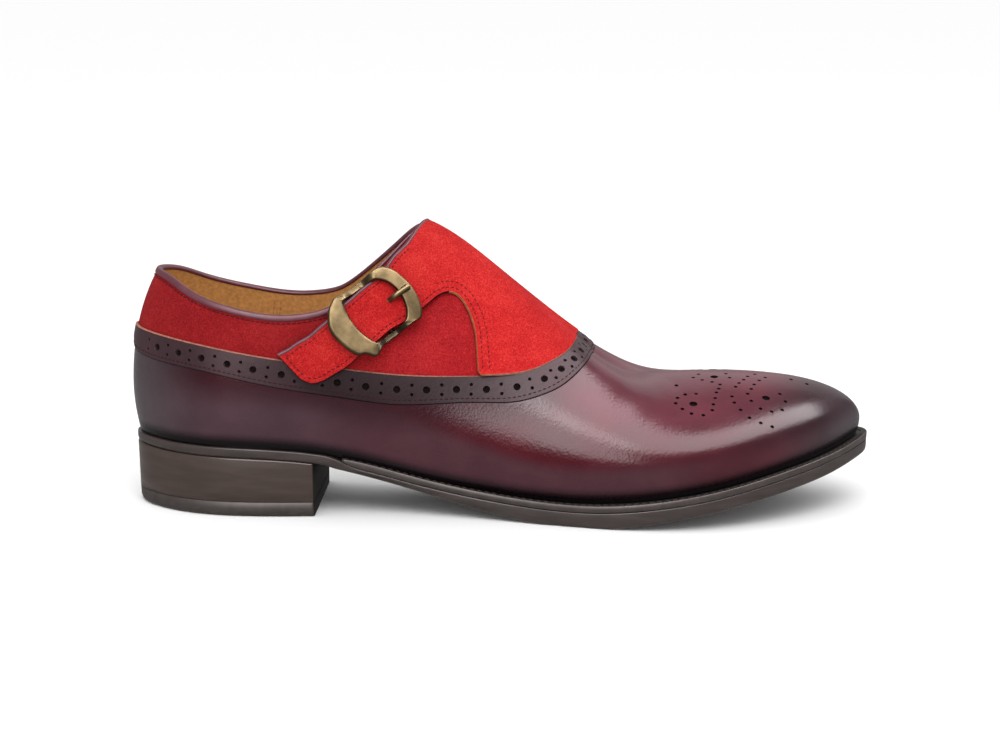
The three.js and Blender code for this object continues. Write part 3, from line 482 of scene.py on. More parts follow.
# Meshes
def place(name, points, faces, mats, stands=(), faceMats=None, normals=None, patinaAndLight=None):
    mesh = bpy.data.meshes.new(name)
    mesh.from_pydata(toFrame(points).tolist(), [], [list(map(int, f)) for f in faces])
    for m in mats:
        mesh.materials.append(materials[m])
    if faceMats is not None:
        mesh.polygons.foreach_set("material_index", np.asarray(faceMats, dtype=np.int32))
    mesh.polygons.foreach_set("use_smooth", [True] * len(mesh.polygons))
    if patinaAndLight is not None:
        data = mesh.attributes.new("patinaAndLight", "FLOAT_COLOR", "POINT")
        rgba = np.concatenate([np.asarray(patinaAndLight), np.ones((len(patinaAndLight), 1))], 1)
        data.data.foreach_set("color", rgba.astype(np.float32).ravel())
    mesh.update()
    if normals is not None:
        mesh.normals_split_custom_set_from_vertices(np.asarray(normals).tolist())
    obj = bpy.data.objects.new(name, mesh)
    bpy.context.scene.collection.objects.link(obj)
    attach(obj, "root")
    for n in stands:
        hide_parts(n)
    return obj


def gridFaces(rows, cols, closedRows=False, closedCols=False, flip=False):
    faces = []
    for i in range(rows if closedRows else rows - 1):
        for j in range(cols if closedCols else cols - 1):
            a, b = i * cols + j, i * cols + (j + 1) % cols
            c, d = ((i + 1) % rows) * cols + (j + 1) % cols, ((i + 1) % rows) * cols + j
            faces.append((a, b, c, d) if flip else (a, d, c, b))
    return faces


# A row of closed rings with its two ends capped
def tubeFaces(n, k):
    ends = [tuple(range(k)), tuple((n - 1) * k + j for j in range(k - 1, -1, -1))]
    return gridFaces(n, k, False, True) + ends


# Several small bodies gathered into one mesh
class Pile:
    def __init__(self):
        self.points, self.faces, self.mats, self.count = [], [], [], 0

    def add(self, points, faces, mat=0):
        points = np.asarray(points, float).reshape(-1, 3)
        self.points.append(points)
        self.faces += [tuple(self.count + i for i in f) for f in faces]
        self.mats += [mat] * len(faces)
        self.count += len(points)

    def finish(self, name, mats, slotName, stands=()):
        place(name, np.concatenate(self.points), self.faces, mats, stands, self.mats)


def pathLength(points):
    return np.concatenate([[0], np.cumsum(np.linalg.norm(np.diff(points, axis=0), axis=1))])


def catmull(points, per=8, closed=False):
    p = np.asarray(points, float)
    n, out = len(p), []
    for i in range(n if closed else n - 1):
        if closed:
            a, b, c, d = p[(i - 1) % n], p[i], p[(i + 1) % n], p[(i + 2) % n]
        else:
            a, b, c, d = p[max(i - 1, 0)], p[i], p[i + 1], p[min(i + 2, n - 1)]
        for u in np.arange(per) / per:
            out.append(0.5 * (2 * b + (c - a) * u + (2 * a - 5 * b + 4 * c - d) * u ** 2
                              + (3 * b - a - 3 * c + d) * u ** 3))
    if not closed:
        out.append(p[-1])
    return np.array(out)


# A profile of (out, across) pairs carried along a line: out along the normals, across beside the line
def tubeAlong(points, normals, profile, closed=False, widths=None):
    points, normals = np.asarray(points), np.asarray(normals)
    widths = np.ones(len(points)) if widths is None else widths
    run = np.roll(points, -1, 0) - np.roll(points, 1, 0) if closed else np.gradient(points, axis=0)
    beside = unit(np.cross(unit(run), normals))
    rings = np.stack([points + normals * o + beside * (a * widths)[:, None] for o, a in profile], 1)
    n, k = rings.shape[:2]
    return rings.reshape(-1, 3), gridFaces(n, k, True, True) if closed else tubeFaces(n, k)


def ringProfile(out, across, count):
    turns = np.linspace(0, -2 * math.pi, count, endpoint=False)
    return [(out * math.cos(a), across * math.sin(a)) for a in turns]


# A row of raised thread stitches along a line of points with normals
def stitchRow(pile, line, normals, length=1.5, step=2.1, radius=0.2):
    along = pathLength(line)
    for k in range(int(along[-1] / step)):
        s = np.linspace((k + 0.5) * step - length / 2, (k + 0.5) * step + length / 2, 4)
        centre = np.stack([np.interp(s, along, line[:, i]) for i in range(3)], 1)
        n = unit(np.stack([np.interp(s, along, normals[:, i]) for i in range(3)], 1))
        centre = centre + n * np.array([-0.15, 0.08, 0.08, -0.15])[:, None]
        pile.add(*tubeAlong(centre, n, ringProfile(radius * 0.8, radius, 6)))


def inside(poly, pts):
    x, y = pts[:, 0], pts[:, 1]
    result = np.zeros(len(pts), bool)
    px, py = poly[:, 0], poly[:, 1]
    for i in range(len(poly)):
        j = i - 1
        crossed = (px[j] - px[i]) * (y - py[i]) / (py[j] - py[i] + 1e-12) + px[i]
        result ^= ((py[i] > y) != (py[j] > y)) & (x < crossed)
    return result


flatScale = 100.0     # places are laid out at this scale before they are cut into triangles


# A round hole's edge as places on the upper
def ringAround(turn, v, radius, count):
    e = 1e-3
    a = unit(skin(turn + e, v) - skin(turn - e, v))
    b = np.cross(skinNormal(turn, v), a)
    phi = np.linspace(0, 2 * math.pi, count, endpoint=False)[:, None]
    move = radius * (np.cos(phi) * a + np.sin(phi) * b)
    places = np.tile([turn, v], (count, 1)).astype(float)
    for _ in range(3):
        places = shifted(places[:, 0], places[:, 1], move / 3)
    return places


# Triangles over a region of places, with holes in it
def cutSheet(edge, holeRings, spacing):
    loops = [np.asarray(edge) * flatScale] + [np.asarray(h) * flatScale for h in holeRings]
    border, edges = [], []
    for loop in loops:
        start = len(border)
        border += loop.tolist()
        edges += [(start + i, start + (i + 1) % len(loop)) for i in range(len(loop))]
    border = np.array(border)
    lo, hi = loops[0].min(0), loops[0].max(0)
    columns, rows = np.arange(lo[0], hi[0], spacing), np.arange(lo[1], hi[1], spacing * 0.87)
    gx, gy = np.meshgrid(columns, rows, indexing="ij")
    gx = gx + (np.arange(len(rows)) % 2)[None, :] * spacing / 2
    fill = np.stack([gx.ravel(), gy.ravel()], 1)
    fill = fill[inside(loops[0], fill)]
    near = np.full(len(fill), 1e9)
    for chunk in np.array_split(border, max(1, len(border) // 200)):
        near = np.minimum(near, ((fill[:, None] - chunk[None]) ** 2).sum(2).min(1))
    fill = fill[near > (spacing * 0.42) ** 2]
    for h in loops[1:]:
        close = (np.abs(fill - h.mean(0)) < 6).all(1)
        drop = np.zeros(len(fill), bool)
        drop[close] = inside(h, fill[close])
        fill = fill[~drop]
    res = delaunay_2d_cdt([Vector(p) for p in np.concatenate([border, fill])], edges, [], 0, 1e-5)
    out = np.array([tuple(p) for p in res[0]])
    tris = np.array([f for f in res[2] if len(f) == 3])
    mid = out[tris].mean(1)
    ok = inside(loops[0], mid)
    for h in loops[1:]:
        close = (np.abs(mid - h.mean(0)) < 6).all(1) & ok
        ok[close] &= ~inside(h, mid[close])
    tris = tris[ok]
    a, b, c = out[tris[:, 0]], out[tris[:, 1]], out[tris[:, 2]]
    ccw = (b[:, 0] - a[:, 0]) * (c[:, 1] - a[:, 1]) - (b[:, 1] - a[:, 1]) * (c[:, 0] - a[:, 0]) > 0
    return out / flatScale, np.where(ccw[:, None], tris, tris[:, ::-1])


def borderEdges(tris):
    seen = {}
    for t in tris:
        for a, b in ((t[0], t[1]), (t[1], t[2]), (t[2], t[0])):
            if (b, a) in seen:
                del seen[(b, a)]
            else:
                seen[(a, b)] = True
    return list(seen)


# A piece of leather on the upper: its face, and a rounded edge whose material depends on the place
def skinSheet(name, places, tris, lift, thick, mats, edgeKind, stands=(), patinaAndLight=None, edgeRound=0.3):
    t, v = places[:, 0], places[:, 1]
    n = skinNormal(t, v)
    base = skin(t, v)
    low = lift(t, v)
    top = base + n * (low + thick(t, v))[:, None]
    colour = patinaAndLight(t, v) if patinaAndLight else np.full((len(t), 3), 0.2)
    border = np.array(borderEdges(tris))
    a, b = border[:, 0], border[:, 1]
    side = -unit(np.cross(n[a], top[b] - top[a]))
    ra = top[a] - n[a] * edgeRound + side * edgeRound * 0.6
    rb = top[b] - n[b] * edgeRound + side * edgeRound * 0.6
    la, lb = base[a] + n[a] * low[a, None] + side * 0.45, base[b] + n[b] * low[b, None] + side * 0.45
    strips = np.stack([top[a], top[b], rb, ra, lb, la], 1).reshape(-1, 3)
    tilt = unit(n[a] + side)
    stripNormals = np.stack([tilt, tilt, side, side, side, side], 1).reshape(-1, 3)
    stripColours = np.stack([colour[a], colour[b]] + [colour[a]] * 4, 1).reshape(-1, 3)
    faces, faceMats, count = [tuple(f) for f in tris], [0] * len(tris), len(top)
    for kind in edgeKind(t[a], v[a]):
        faces += [(count + 1, count, count + 3, count + 2), (count + 2, count + 3, count + 5, count + 4)]
        faceMats += [int(kind)] * 2
        count += 6
    return place(
        name, np.concatenate([top, strips]), faces, mats, stands, faceMats,
        np.concatenate([n, stripNormals]), np.concatenate([colour, stripColours]),
    )


# Colour of the leather: red on the vamp's side, a painted grey reflection at toe and heel, a painted mauve
# floor reflection low down, a painted sheen on the vamp's top, dark patina by the band, and near black at the
# sole, partly the patina's dark edge and partly painted shade in the crease at the welt
patinaAndLightLook = {
    "red": linear(76, 0, 18), "roseSheen": linear(114, 54, 67), "deep": linear(44, 14, 24),
    "mauveReflection": linear(80, 58, 66), "greyReflection": linear(74, 68, 72),
    "black": linear(14, 8, 11), "band": linear(48, 29, 34), "bandLight": linear(76, 54, 58),
    "toeFrom": 0.84, "heelTo": 0.13,
}


def blendTo(colour, name, weight):
    w = np.clip(weight, 0, 1)[..., None]
    return colour * (1 - w) + np.array(patinaAndLightLook[name]) * w


def leatherPatinaAndLight(t, v):
    p = skin(t, v)
    at, up = p[..., 0] / sole["length"], 1 - np.abs(v)
    over = p[..., 2] - treadHeight(p[..., 0])
    colour = np.ones(p.shape) * np.array(patinaAndLightLook["red"])
    low = 26 - 12 * smooth(at, 0.3, 0.6) + 6 * smooth(at, 0.75, 1.0)
    rear = 1 - 0.4 * smooth(at, 0.7, 0.8)
    # painted reflection: mauve grey low on the flank, where the floor would show in the gloss
    colour = blendTo(colour, "mauveReflection", 0.62 * smooth(-over, -low - 5, -low + 3) * rear)
    foot = np.where(t < footApex, bandFoot(t), 1.0)
    ahead = np.where(t < footApex, 1, 1 - smooth(t, footApex, footApex + 0.2))
    colour = blendTo(colour, "deep", 0.7 * smooth(up, foot - 0.13, foot - 0.01) * ahead)
    # painted sheen: rose grey on the vamp's top
    colour = blendTo(colour, "roseSheen", 0.8 * smooth(up, 0.3, 0.52) * smooth(at, 0.54, 0.64))
    # painted reflection: mauve grey low on the heel's quarter
    colour = blendTo(colour, "mauveReflection", 0.75 * smooth(-at, -0.36, -0.2) * smooth(-up, -0.2, -0.12))
    # painted reflection: grey over the toe and the heel
    colour = blendTo(colour, "greyReflection", 0.92 * smooth(at, patinaAndLightLook["toeFrom"], 0.985))
    colour = blendTo(colour, "greyReflection", 0.8 * smooth(-at, -patinaAndLightLook["heelTo"], 0.0))
    side = smooth(-over, -34, -22) * smooth(over, 8, 16)
    colour = blendTo(colour, "deep", 0.75 * smooth(at, 0.72, 0.92) * side)
    # near black above the sole: the patina's dark edge and painted shade in the crease at the welt
    return blendTo(colour, "black", smooth(-over, -7.0, -2.0))


def bandPatina(t, v):
    at = placeOf(t)
    colour = np.ones(at.shape + (3,)) * np.array(patinaAndLightLook["band"])
    colour = blendTo(colour, "bandLight", 0.8 * smooth(at, 0.46, 0.6))
    colour = blendTo(colour, "bandLight", 0.6 * smooth(-at, -0.3, -0.14))
    return blendTo(colour, "black", 0.25 * smooth(-at, -0.45, -0.3) * smooth(at, 0.2, 0.3))


# Holes: big ones along the band with pairs of small ones between, and the pattern on the toe
holes = {
    "bandBig": 1.5, "bandSmall": 0.74, "pairReach": 1.9, "bandStep": 9.6,
    "toeBig": 1.6, "toeSmall": 0.78, "depth": 0.9, "narrowing": 0.86,
}
bandHoleRows = [13.3, 22.8, 32.5, 43.1, 53.4, 64.7, 75.6, 87, 98.3, 110.9, 122.9, 135, 147, 159.2, 169.9]
toeBig = {"at": [0.798, 0.902, 0.889], "up": [0.631, 0.602, 0.880]}
toeSmall = {
    "at": [0.806, 0.783, 0.772, 0.775, 0.783, 0.798, 0.816, 0.825, 0.837, 0.849, 0.860, 0.872, 0.868, 0.801,
           0.818, 0.860, 0.855, 0.877, 0.862, 0.855, 0.887, 0.902, 0.853, 0.855, 0.864, 0.875, 0.879, 0.879,
           0.889, 0.904, 0.920, 0.927, 0.887, 0.902, 0.918, 0.939, 0.920, 0.942, 0.924, 0.908, 0.961, 0.968,
           0.984, 0.983],
    "up": [0.807, 0.683, 0.635, 0.590, 0.554, 0.538, 0.570, 0.614, 0.663, 0.711, 0.743, 0.783, 0.819, 0.715,
           0.715, 0.851, 0.888, 0.932, 0.659, 0.606, 0.743, 0.779, 0.542, 0.470, 0.414, 0.365, 0.598, 0.522,
           0.482, 0.478, 0.542, 0.618, 0.663, 0.703, 0.747, 0.791, 0.815, 0.863, 0.924, 0.855, 0.827, 0.900,
           0.667, 0.755],
}


def addWell(pile, ring, high, low):
    k = len(ring)
    top, foot = (lifted(ring[:, 0], ring[:, 1], height + np.zeros(k)) for height in (high, low))
    centre = foot.mean(0)
    foot = centre + (foot - centre) * holes["narrowing"]
    pile.add(np.concatenate([top, foot]), [(i, k + i, k + (i + 1) % k, (i + 1) % k) for i in range(k)])
    pile.add(foot, [tuple(range(k))])


# Upper: leather below the band, rear suede above it, real holes in the toe
def upperSkin():
    front = turnOf(upper["patchFrom"]), turnOf(upper["patchTo"])
    turns = np.concatenate([
        np.linspace(0, apexTurn, 100)[:-1], np.linspace(apexTurn, front[0], 66)[:-1],
        np.linspace(front[0], front[1], 46)[:-1], np.linspace(front[1], math.pi, 10),
    ])
    n, rows = len(turns), upper["rows"]
    s = np.linspace(0, 1, rows)[None]
    low, high = collarV(turns, -1)[:, None], collarV(turns, 1)[:, None]
    blocks = [-1 + (low + 1) * s, high + (1 - high) * s]
    i0, i1 = (int(np.argmin(np.abs(turns - f))) for f in front)
    cut = int(round(upper["patchFoot"] * (rows - 1)))
    places, faces, mats, patchEdges = [], [], [], []
    for k, block in enumerate(blocks):
        grid = np.stack([np.repeat(turns[:, None], rows, 1), block], -1)
        up = 1 - np.abs(block)
        edge = 0.5 * (bandTop(turns) + bandFoot(turns))
        j0, j1 = (cut, rows - 1) if k == 0 else (0, rows - 1 - cut)
        for i in range(n - 1):
            for j in range(rows - 1):
                if i0 <= i < i1 and j0 <= j < j1:
                    continue
                a = k * n * rows + i * rows + j
                faces.append((a, a + rows, a + rows + 1, a + 1))
                mats.append(int(up[i, j] > edge[i] and turns[i] < footApex - 0.04))
        ring = [(i, j0) for i in range(i0, i1)] + [(i1, j) for j in range(j0, j1)]
        ring += [(i, j1) for i in range(i1, i0, -1)] + [(i0, j) for j in range(j1, j0, -1)]
        patchEdges.append(np.array([grid[i, j] for i, j in ring]))
        places.append(grid.reshape(-1, 2))
    rings = []
    for table, radius, corners in ((toeBig, holes["toeBig"], 20), (toeSmall, holes["toeSmall"], 12)):
        spots = zip(table["at"], table["up"])
        rings += [ringAround(float(turnOf(at)), up - 1, radius, corners) for at, up in spots]
    allRings = [rings, [r * [1, -1] for r in rings]]
    for edge, cuts in zip(patchEdges, allRings):
        pts, tris = cutSheet(edge, cuts, 1.4)
        count = sum(len(p) for p in places)
        faces += [tuple(int(i) + count for i in t) for t in tris]
        mats += [0] * len(tris)
        places.append(pts)
    t, v = np.concatenate(places).T
    place("upper_leather", worn(t, v), faces, ["burgundy", "suedeRear"], ["upper"], mats,
          skinNormal(t, v, worn), leatherPatinaAndLight(t, v))
    wells = Pile()
    for ring in allRings[0] + allRings[1]:
        addWell(wells, ring, 0.02, -holes["depth"])
    wells.finish("toe_holes", ["hole"], "upper")


upperSkin()
print("upper made")


# Place on the band: s from the heel (0) over the front (1) to the heel again (2), w from foot to top
def bandPlaces(s, w):
    near = np.where(s <= 1, s, 2 - s)
    side = np.where(s <= 1, -1.0, 1.0)
    topTurn, footTurn = near * bandApex, near * footApex
    topUp = np.where(near > 0.9999, 1, bandTop(topTurn))
    footUp = np.where(near > 0.9999, 1, bandFoot(footTurn))
    return footTurn + (topTurn - footTurn) * w, side * (1 - (footUp + (topUp - footUp) * w))


bandLook = {"lift": 0.1, "thick": 0.95, "foot": 0.3, "stitchIn": 0.14}


def bandLift(t, v):
    return np.full(np.shape(t), bandLook["lift"])


def bandThick(t, v):
    share = (1 - np.abs(v) - bandFoot(t)) / np.maximum(bandTop(np.minimum(t, bandApex)) - bandFoot(t), 0.05)
    return bandLook["foot"] + (bandLook["thick"] - bandLook["foot"]) * smooth(share, 0, 0.45)


def bandPiece():
    s = np.linspace(0, 1, 1201)
    t, v = bandPlaces(s, 0.5 + 0 * s)
    line = skin(t, v)
    across = np.cross(skinNormal(t, v), unit(np.gradient(line, axis=0)))
    reach = pathLength(line)
    big = [reach[np.argmin(np.abs(line[:, 0] - x))] for x in bandHoleRows]
    count = round((reach[-1] - big[-1]) / holes["bandStep"])
    big += [big[-1] + (reach[-1] - big[-1]) * (i + 1) / (count + 0.5) for i in range(count)]
    spots = [(t[k], v[k], holes["bandBig"], 18) for k in (int(np.argmin(np.abs(reach - r))) for r in big)]
    for ra, rb in zip([big[0] * 2 - big[1]] + big, big):
        k = int(np.argmin(np.abs(reach - (ra + rb) / 2)))
        for way in (-1, 1):
            q = shifted(t[k], v[k], across[k] * holes["pairReach"] * way)
            spots.append((q[0], q[1], holes["bandSmall"], 12))
    wells, thread = Pile(), Pile()
    for name, way in (("outer", 1), ("inner", -1)):
        e = 1 - (1 - np.linspace(0, 1, 280)) ** 1.5
        foot, head = np.column_stack(bandPlaces(e, 0 * e)), np.column_stack(bandPlaces(e, 0 * e + 1))
        edge = np.concatenate([foot, head[::-1]])
        rings = [ringAround(float(a), float(b), r, k) for a, b, r, k in spots]
        rings = [r for r in rings if inside(edge * flatScale, r * flatScale).all()]
        if way < 0:
            edge, rings = edge * [1, -1], [r * [1, -1] for r in rings]
        pts, tris = cutSheet(edge, rings, 1.5)

        def kind(tt, vv):
            return np.where((1 - np.abs(vv) > bandTop(tt) - 0.006) & (tt < bandApex), 1, 2)

        skinSheet("band_" + name, pts, tris, bandLift, bandThick, ["band", "rawEdge", "band"], kind,
                  patinaAndLight=bandPatina, edgeRound=0.35)
        for ring in rings:
            at = ring[:, 0], ring[:, 1]
            addWell(wells, ring, bandLift(*at) + 0.7 * bandThick(*at), bandLift(*at))
    wells.finish("band_holes", ["hole"], "upper")
    s = np.linspace(0.004, 1.996, 900)
    t, v = bandPlaces(s, bandLook["stitchIn"] + 0 * s)
    stitchRow(thread, lifted(t, v, bandLift(t, v) + bandThick(t, v)), skinNormal(t, v))
    thread.finish("band_stitches", ["thread"], "upper")


bandPiece()
print("band made")

# Strap and front panel: one suede sheet from the free end over the crest to the inner quarter
strapRows = {
    "footAt": [0.475, 0.472, 0.469, 0.462, 0.45, 0.437, 0.425, 0.412, 0.398, 0.387, 0.377, 0.365, 0.35, 0.338,
               0.326, 0.311, 0.297, 0.28, 0.266, 0.252, 0.238],
    "footUp": [0.425, 0.506, 0.554, 0.598, 0.635, 0.645, 0.634, 0.606, 0.562, 0.528, 0.5, 0.472, 0.442, 0.41,
               0.378, 0.341, 0.305, 0.273, 0.249, 0.237, 0.245],
    "topAt": [0.36, 0.341, 0.329, 0.317, 0.305, 0.294, 0.282, 0.271, 0.257, 0.244, 0.23, 0.22, 0.212, 0.207],
    "topUp": [0.78, 0.68, 0.606, 0.57, 0.538, 0.506, 0.474, 0.438, 0.402, 0.369, 0.345, 0.325, 0.313, 0.305],
}
strapLiftRows = {
    "reach": [-1.1, -0.8, -0.56, -0.38, -0.27, -0.05, 0.12, 0.27, 0.38, 0.56, 0.85, 1.1],
    "lift": [1.9, 2.0, 2.7, 3.6, 4.3, 5.0, 5.0, 4.4, 3.7, 2.6, 1.2, 0.5],
}
strapLook = {
    "thick": 1.15, "lift": 0.25, "backLift": 0.04, "backTurn": 0.12, "frontTurn": 0.4,
    "collarGap": 0.026, "archAt": 0.428,
    "stitchIn": 1.7, "secondRow": 4.4, "topStitchIn": 1.8, "thread": 0.17,
}
buckle = {
    "at": 0.326, "up": 0.482, "lean": 0.6, "length": 37.0, "thick": 2.4, "clear": 6.3, "pivotClear": 1.6,
    "bar": 1.1, "barHalf": 11.4, "railHalf": 8.2, "bevel": 0.00016, "tabHalf": 7.0, "tabThick": 0.7,
}
buckleMid = skin(turnOf(buckle["at"]), buckle["up"] - 1)
buckleOut = skinNormal(turnOf(buckle["at"]), buckle["up"] - 1)
levelLine = unit(np.cross([0, 0, 1], buckleOut))
buckleAlong = levelLine * math.cos(buckle["lean"]) + np.cross(buckleOut, levelLine) * math.sin(buckle["lean"])
buckleAcross = np.cross(buckleOut, buckleAlong)
strapLiftCurve = curve(strapLiftRows["reach"], strapLiftRows["lift"])


def strapLift(t, v):
    reach = (skin(t, v) - buckleMid) @ buckleAlong / buckle["length"]
    free = 1 - smooth(1 - np.abs(v), 0.7, 0.98)
    low, back = strapLook["lift"], strapLook["backLift"]
    inner = back + (low - back) * smooth(t, strapLook["backTurn"], strapLook["frontTurn"])
    return np.where(np.asarray(v) < 0, low + np.maximum(0, strapLiftCurve(reach) - low) * free, inner)


def strapThick(t, v):
    inner = 0.3 + 0.7 * smooth(t, strapLook["backTurn"], strapLook["frontTurn"])
    return strapLook["thick"] * np.where(np.asarray(v) > 0, inner, 1.0)


def strapFace(t, v):
    return strapLift(t, v) + strapThick(t, v)


strapFoot = catmull(np.column_stack([turnOf(strapRows["footAt"]), np.array(strapRows["footUp"]) - 1]))
strapTop = catmull(np.column_stack([
    np.append(apexTurn, turnOf(strapRows["topAt"])), np.append(0.0, np.array(strapRows["topUp"]) - 1),
]))


# A line moved over the upper by a distance to its left, seen from outside, with its lift and normals
def besideLine(line, distance, lift):
    t, v = line[:, 0], line[:, 1]
    p = lifted(t, v, lift(t, v))
    across = np.cross(skinNormal(t, v), unit(np.gradient(p, axis=0)))
    q = shifted(t, v, across * distance)
    return q, lifted(q[:, 0], q[:, 1], lift(q[:, 0], q[:, 1])), skinNormal(q[:, 0], q[:, 1])


def strapPiece():
    frontTurns = strapFoot[0, 0] + (bandApex - strapFoot[0, 0]) * (1 - (1 - np.linspace(0, 1, 70)) ** 1.6)
    outerFront = np.column_stack([frontTurns, bandTop(frontTurns) + 0.002 - 1])
    outerFront[-1] = (bandApex, 0.0)
    innerTurns = bandApex + (strapLook["backTurn"] - bandApex) * np.linspace(0, 1, 170) ** 1.4
    innerFront = np.column_stack([innerTurns, 1 - bandTop(innerTurns) - 0.002])[1:]
    rearTurns = np.linspace(strapLook["backTurn"], apexTurn - 0.02, 140)
    innerTop = np.column_stack([rearTurns, collarV(rearTurns, 1) + strapLook["collarGap"]])
    loop = np.concatenate([strapFoot[::-1], outerFront[1:], innerFront, innerTop[1:], strapTop])
    places, tris = cutSheet(loop, [], 1.7)
    archTurn, footTurn = float(turnOf(strapLook["archAt"])), strapFoot[0, 0] + 0.01

    def kind(t, v):
        onFoot = (t > archTurn) & (np.abs(v) > 1 - bandTop(np.minimum(t, bandApex)) - 0.012) & (v < 0)
        onArch = (v < 0) & (t > archTurn) & (1 + v < 0.66)
        return np.where((v > 0) & (t < 0.3), 0, np.where(onFoot & (t > footTurn), 3, np.where(onArch, 2, 1)))

    skinSheet("strap_suede", places, tris, strapLift, strapThick,
              ["suedeFront", "redEdge", "tanEdge", "rawEdge"], kind, ["instep_strap"])
    thread = Pile()

    def addRow(line, distance):
        for way in (1, -1):
            q, pts, n = besideLine(line, way * distance, strapFace)
            if inside(loop * flatScale, q[len(q) // 2:len(q) // 2 + 1] * flatScale)[0]:
                keep = inside(loop * flatScale, q * flatScale)
                stitchRow(thread, pts[keep], n[keep], radius=strapLook["thread"])
                return

    addRow(strapFoot, strapLook["stitchIn"])
    addRow(strapFoot[:56], strapLook["secondRow"])
    addRow(strapTop[10:], strapLook["topStitchIn"])
    addRow(np.linspace(strapFoot[-1], strapTop[-1], 20), strapLook["stitchIn"])
    thread.finish("strap_stitches", ["thread"], "suede")


strapPiece()
print("strap made")


# The outline's outer (-1) or inner (1) side, set in by a distance
def insetEdge(turns, s, inset):
    side = np.full(len(turns), s)
    x, y = outline(turns, side)
    nx, ny = outward(turns, side)
    return x - nx * inset, y - ny * inset


# Sole, heel and welt: rings of edge rows, each set in from the outline
def ringRows(rows, turns, stop=None):
    halves = []
    for s in (-1.0, 1.0):
        half = []
        for inset, height in rows:
            x, y = insetEdge(turns, s, inset)
            if stop:
                x = np.minimum(x, stop(y))
            half.append(np.stack([x, y, height(np.clip(x, 0, sole["length"]))], -1))
        halves.append(half if s < 0 else half[::-1])
    return np.stack(halves[0] + halves[1], 1)


def layerPiece(name, rows, turns, mat, stop=None):
    rings = ringRows(rows, turns, stop)
    obj = place(name, rings.reshape(-1, 3), tubeFaces(*rings.shape[:2]), [mat, "breast"], [name])
    # faces of the heel's breast take the near-black painted shade
    if stop:
        for face in obj.data.polygons:
            face.material_index = int(face.normal.x > 0.6)


def weltGrowth(x):
    return smooth(x, sole["heelLength"] + 2, sole["heelLength"] + 18)


def deckHeight(x):
    return treadHeight(x) - (sole["welt"] + 0.3) * weltGrowth(x)


def breast(y):
    return sole["heelLength"] - 2.5 * (2.7 * y / sole["ball"]) ** 2


def steady(value):
    return lambda x: value + 0 * x


def above(base, gap):
    return lambda x: base(x) + gap


def heelTop(x):
    return groundHeight(np.minimum(x, sole["heelLength"])) - 0.15


soleTurns = np.linspace(0, math.pi, 200)
layerPiece(
    "outsole",
    [(3.0, groundHeight), (1.5, above(groundHeight, 0.05)), (0.7, above(groundHeight, 0.5)),
     (0.4, above(groundHeight, 1.3)), (0.3, lambda x: (groundHeight(x) + deckHeight(x)) / 2),
     (0.3, above(deckHeight, -0.4)), (0.36, above(deckHeight, -0.08)), (0.6, deckHeight)],
    soleTurns, "outsole",
)
heelTurns = np.linspace(0, float(turnOf((sole["heelLength"] + 4) / sole["length"])), 90)
layerPiece(
    "heel_stack",
    [(1.2, steady(sole["topPiece"] + 0.1)), (0.9, steady(sole["topPiece"] + 0.22)), (0.8, steady(11.0)),
     (0.65, steady(17.0)), (0.42, above(heelTop, -0.5)), (0.55, heelTop)],
    heelTurns, "heel", breast,
)
layerPiece(
    "heel_top_piece",
    [(3.4, steady(0.0)), (2.2, steady(0.3)), (1.5, steady(1.2)), (1.1, steady(2.6)),
     (0.93, steady(sole["topPiece"] - 0.15)), (1.15, steady(sole["topPiece"]))],
    heelTurns, "topPiece", breast,
)

weltLook = {
    "from": 10.0, "stitchIn": 2.3, "step": 3.1, "length": 2.3, "thread": 0.34,
    "profile": [(0.4, 0.0), (0.22, 0.06), (0.12, 0.5), (0.1, 0.95), (0.4, 1.1), (0.85, 1.0), (4.2, 0.94),
                (10.0, 1.0), (10.0, 0.0)],     # inset and share of the height
}


def weltPiece():
    start = (sole["heelLength"] + weltLook["from"]) / sole["length"]
    turns = np.linspace(float(turnOf(start)), math.pi, 160)

    def height(share):
        def value(x):
            low = treadHeight(x) - np.maximum(0.5, (sole["welt"] + 0.3) * weltGrowth(x) - 0.3)
            return low + (treadHeight(x) - low) * share
        return value

    rows = ringRows([(inset, height(share)) for inset, share in weltLook["profile"]], turns)
    k = len(weltLook["profile"])
    rings = np.concatenate([rows[:, :k], rows[:-1, k:][::-1, ::-1]])
    faces = tubeFaces(len(rings), k)
    mats = [int(f[0] % k in (4, 5, 6)) for f in faces]     # rows on the welt's upper face
    place("welt", rings.reshape(-1, 3), faces, ["welt", "weltTop"], ["welt"], mats)
    thread = Pile()
    for s in (-1.0, 1.0):
        x, y = insetEdge(turns, s, weltLook["stitchIn"])
        line = np.stack([x, y, treadHeight(x) + 0.02], -1)
        up = np.tile([0.0, 0.0, 1.0], (len(line), 1))
        stitchRow(thread, line, up, weltLook["length"], weltLook["step"], weltLook["thread"])
    thread.finish("welt_stitches", ["weltThread"], "welt")


weltPiece()
print("sole made")


# Inside: lining, its side seam and the sock
liningLook = {"inside": 1.9, "rows": 26, "seamAt": 53.6, "seamHalf": 0.012, "stitch": 1.8, "step": 2.5}
sockLook = {"inset": 2.6, "height": 3.3, "curl": 0.8}


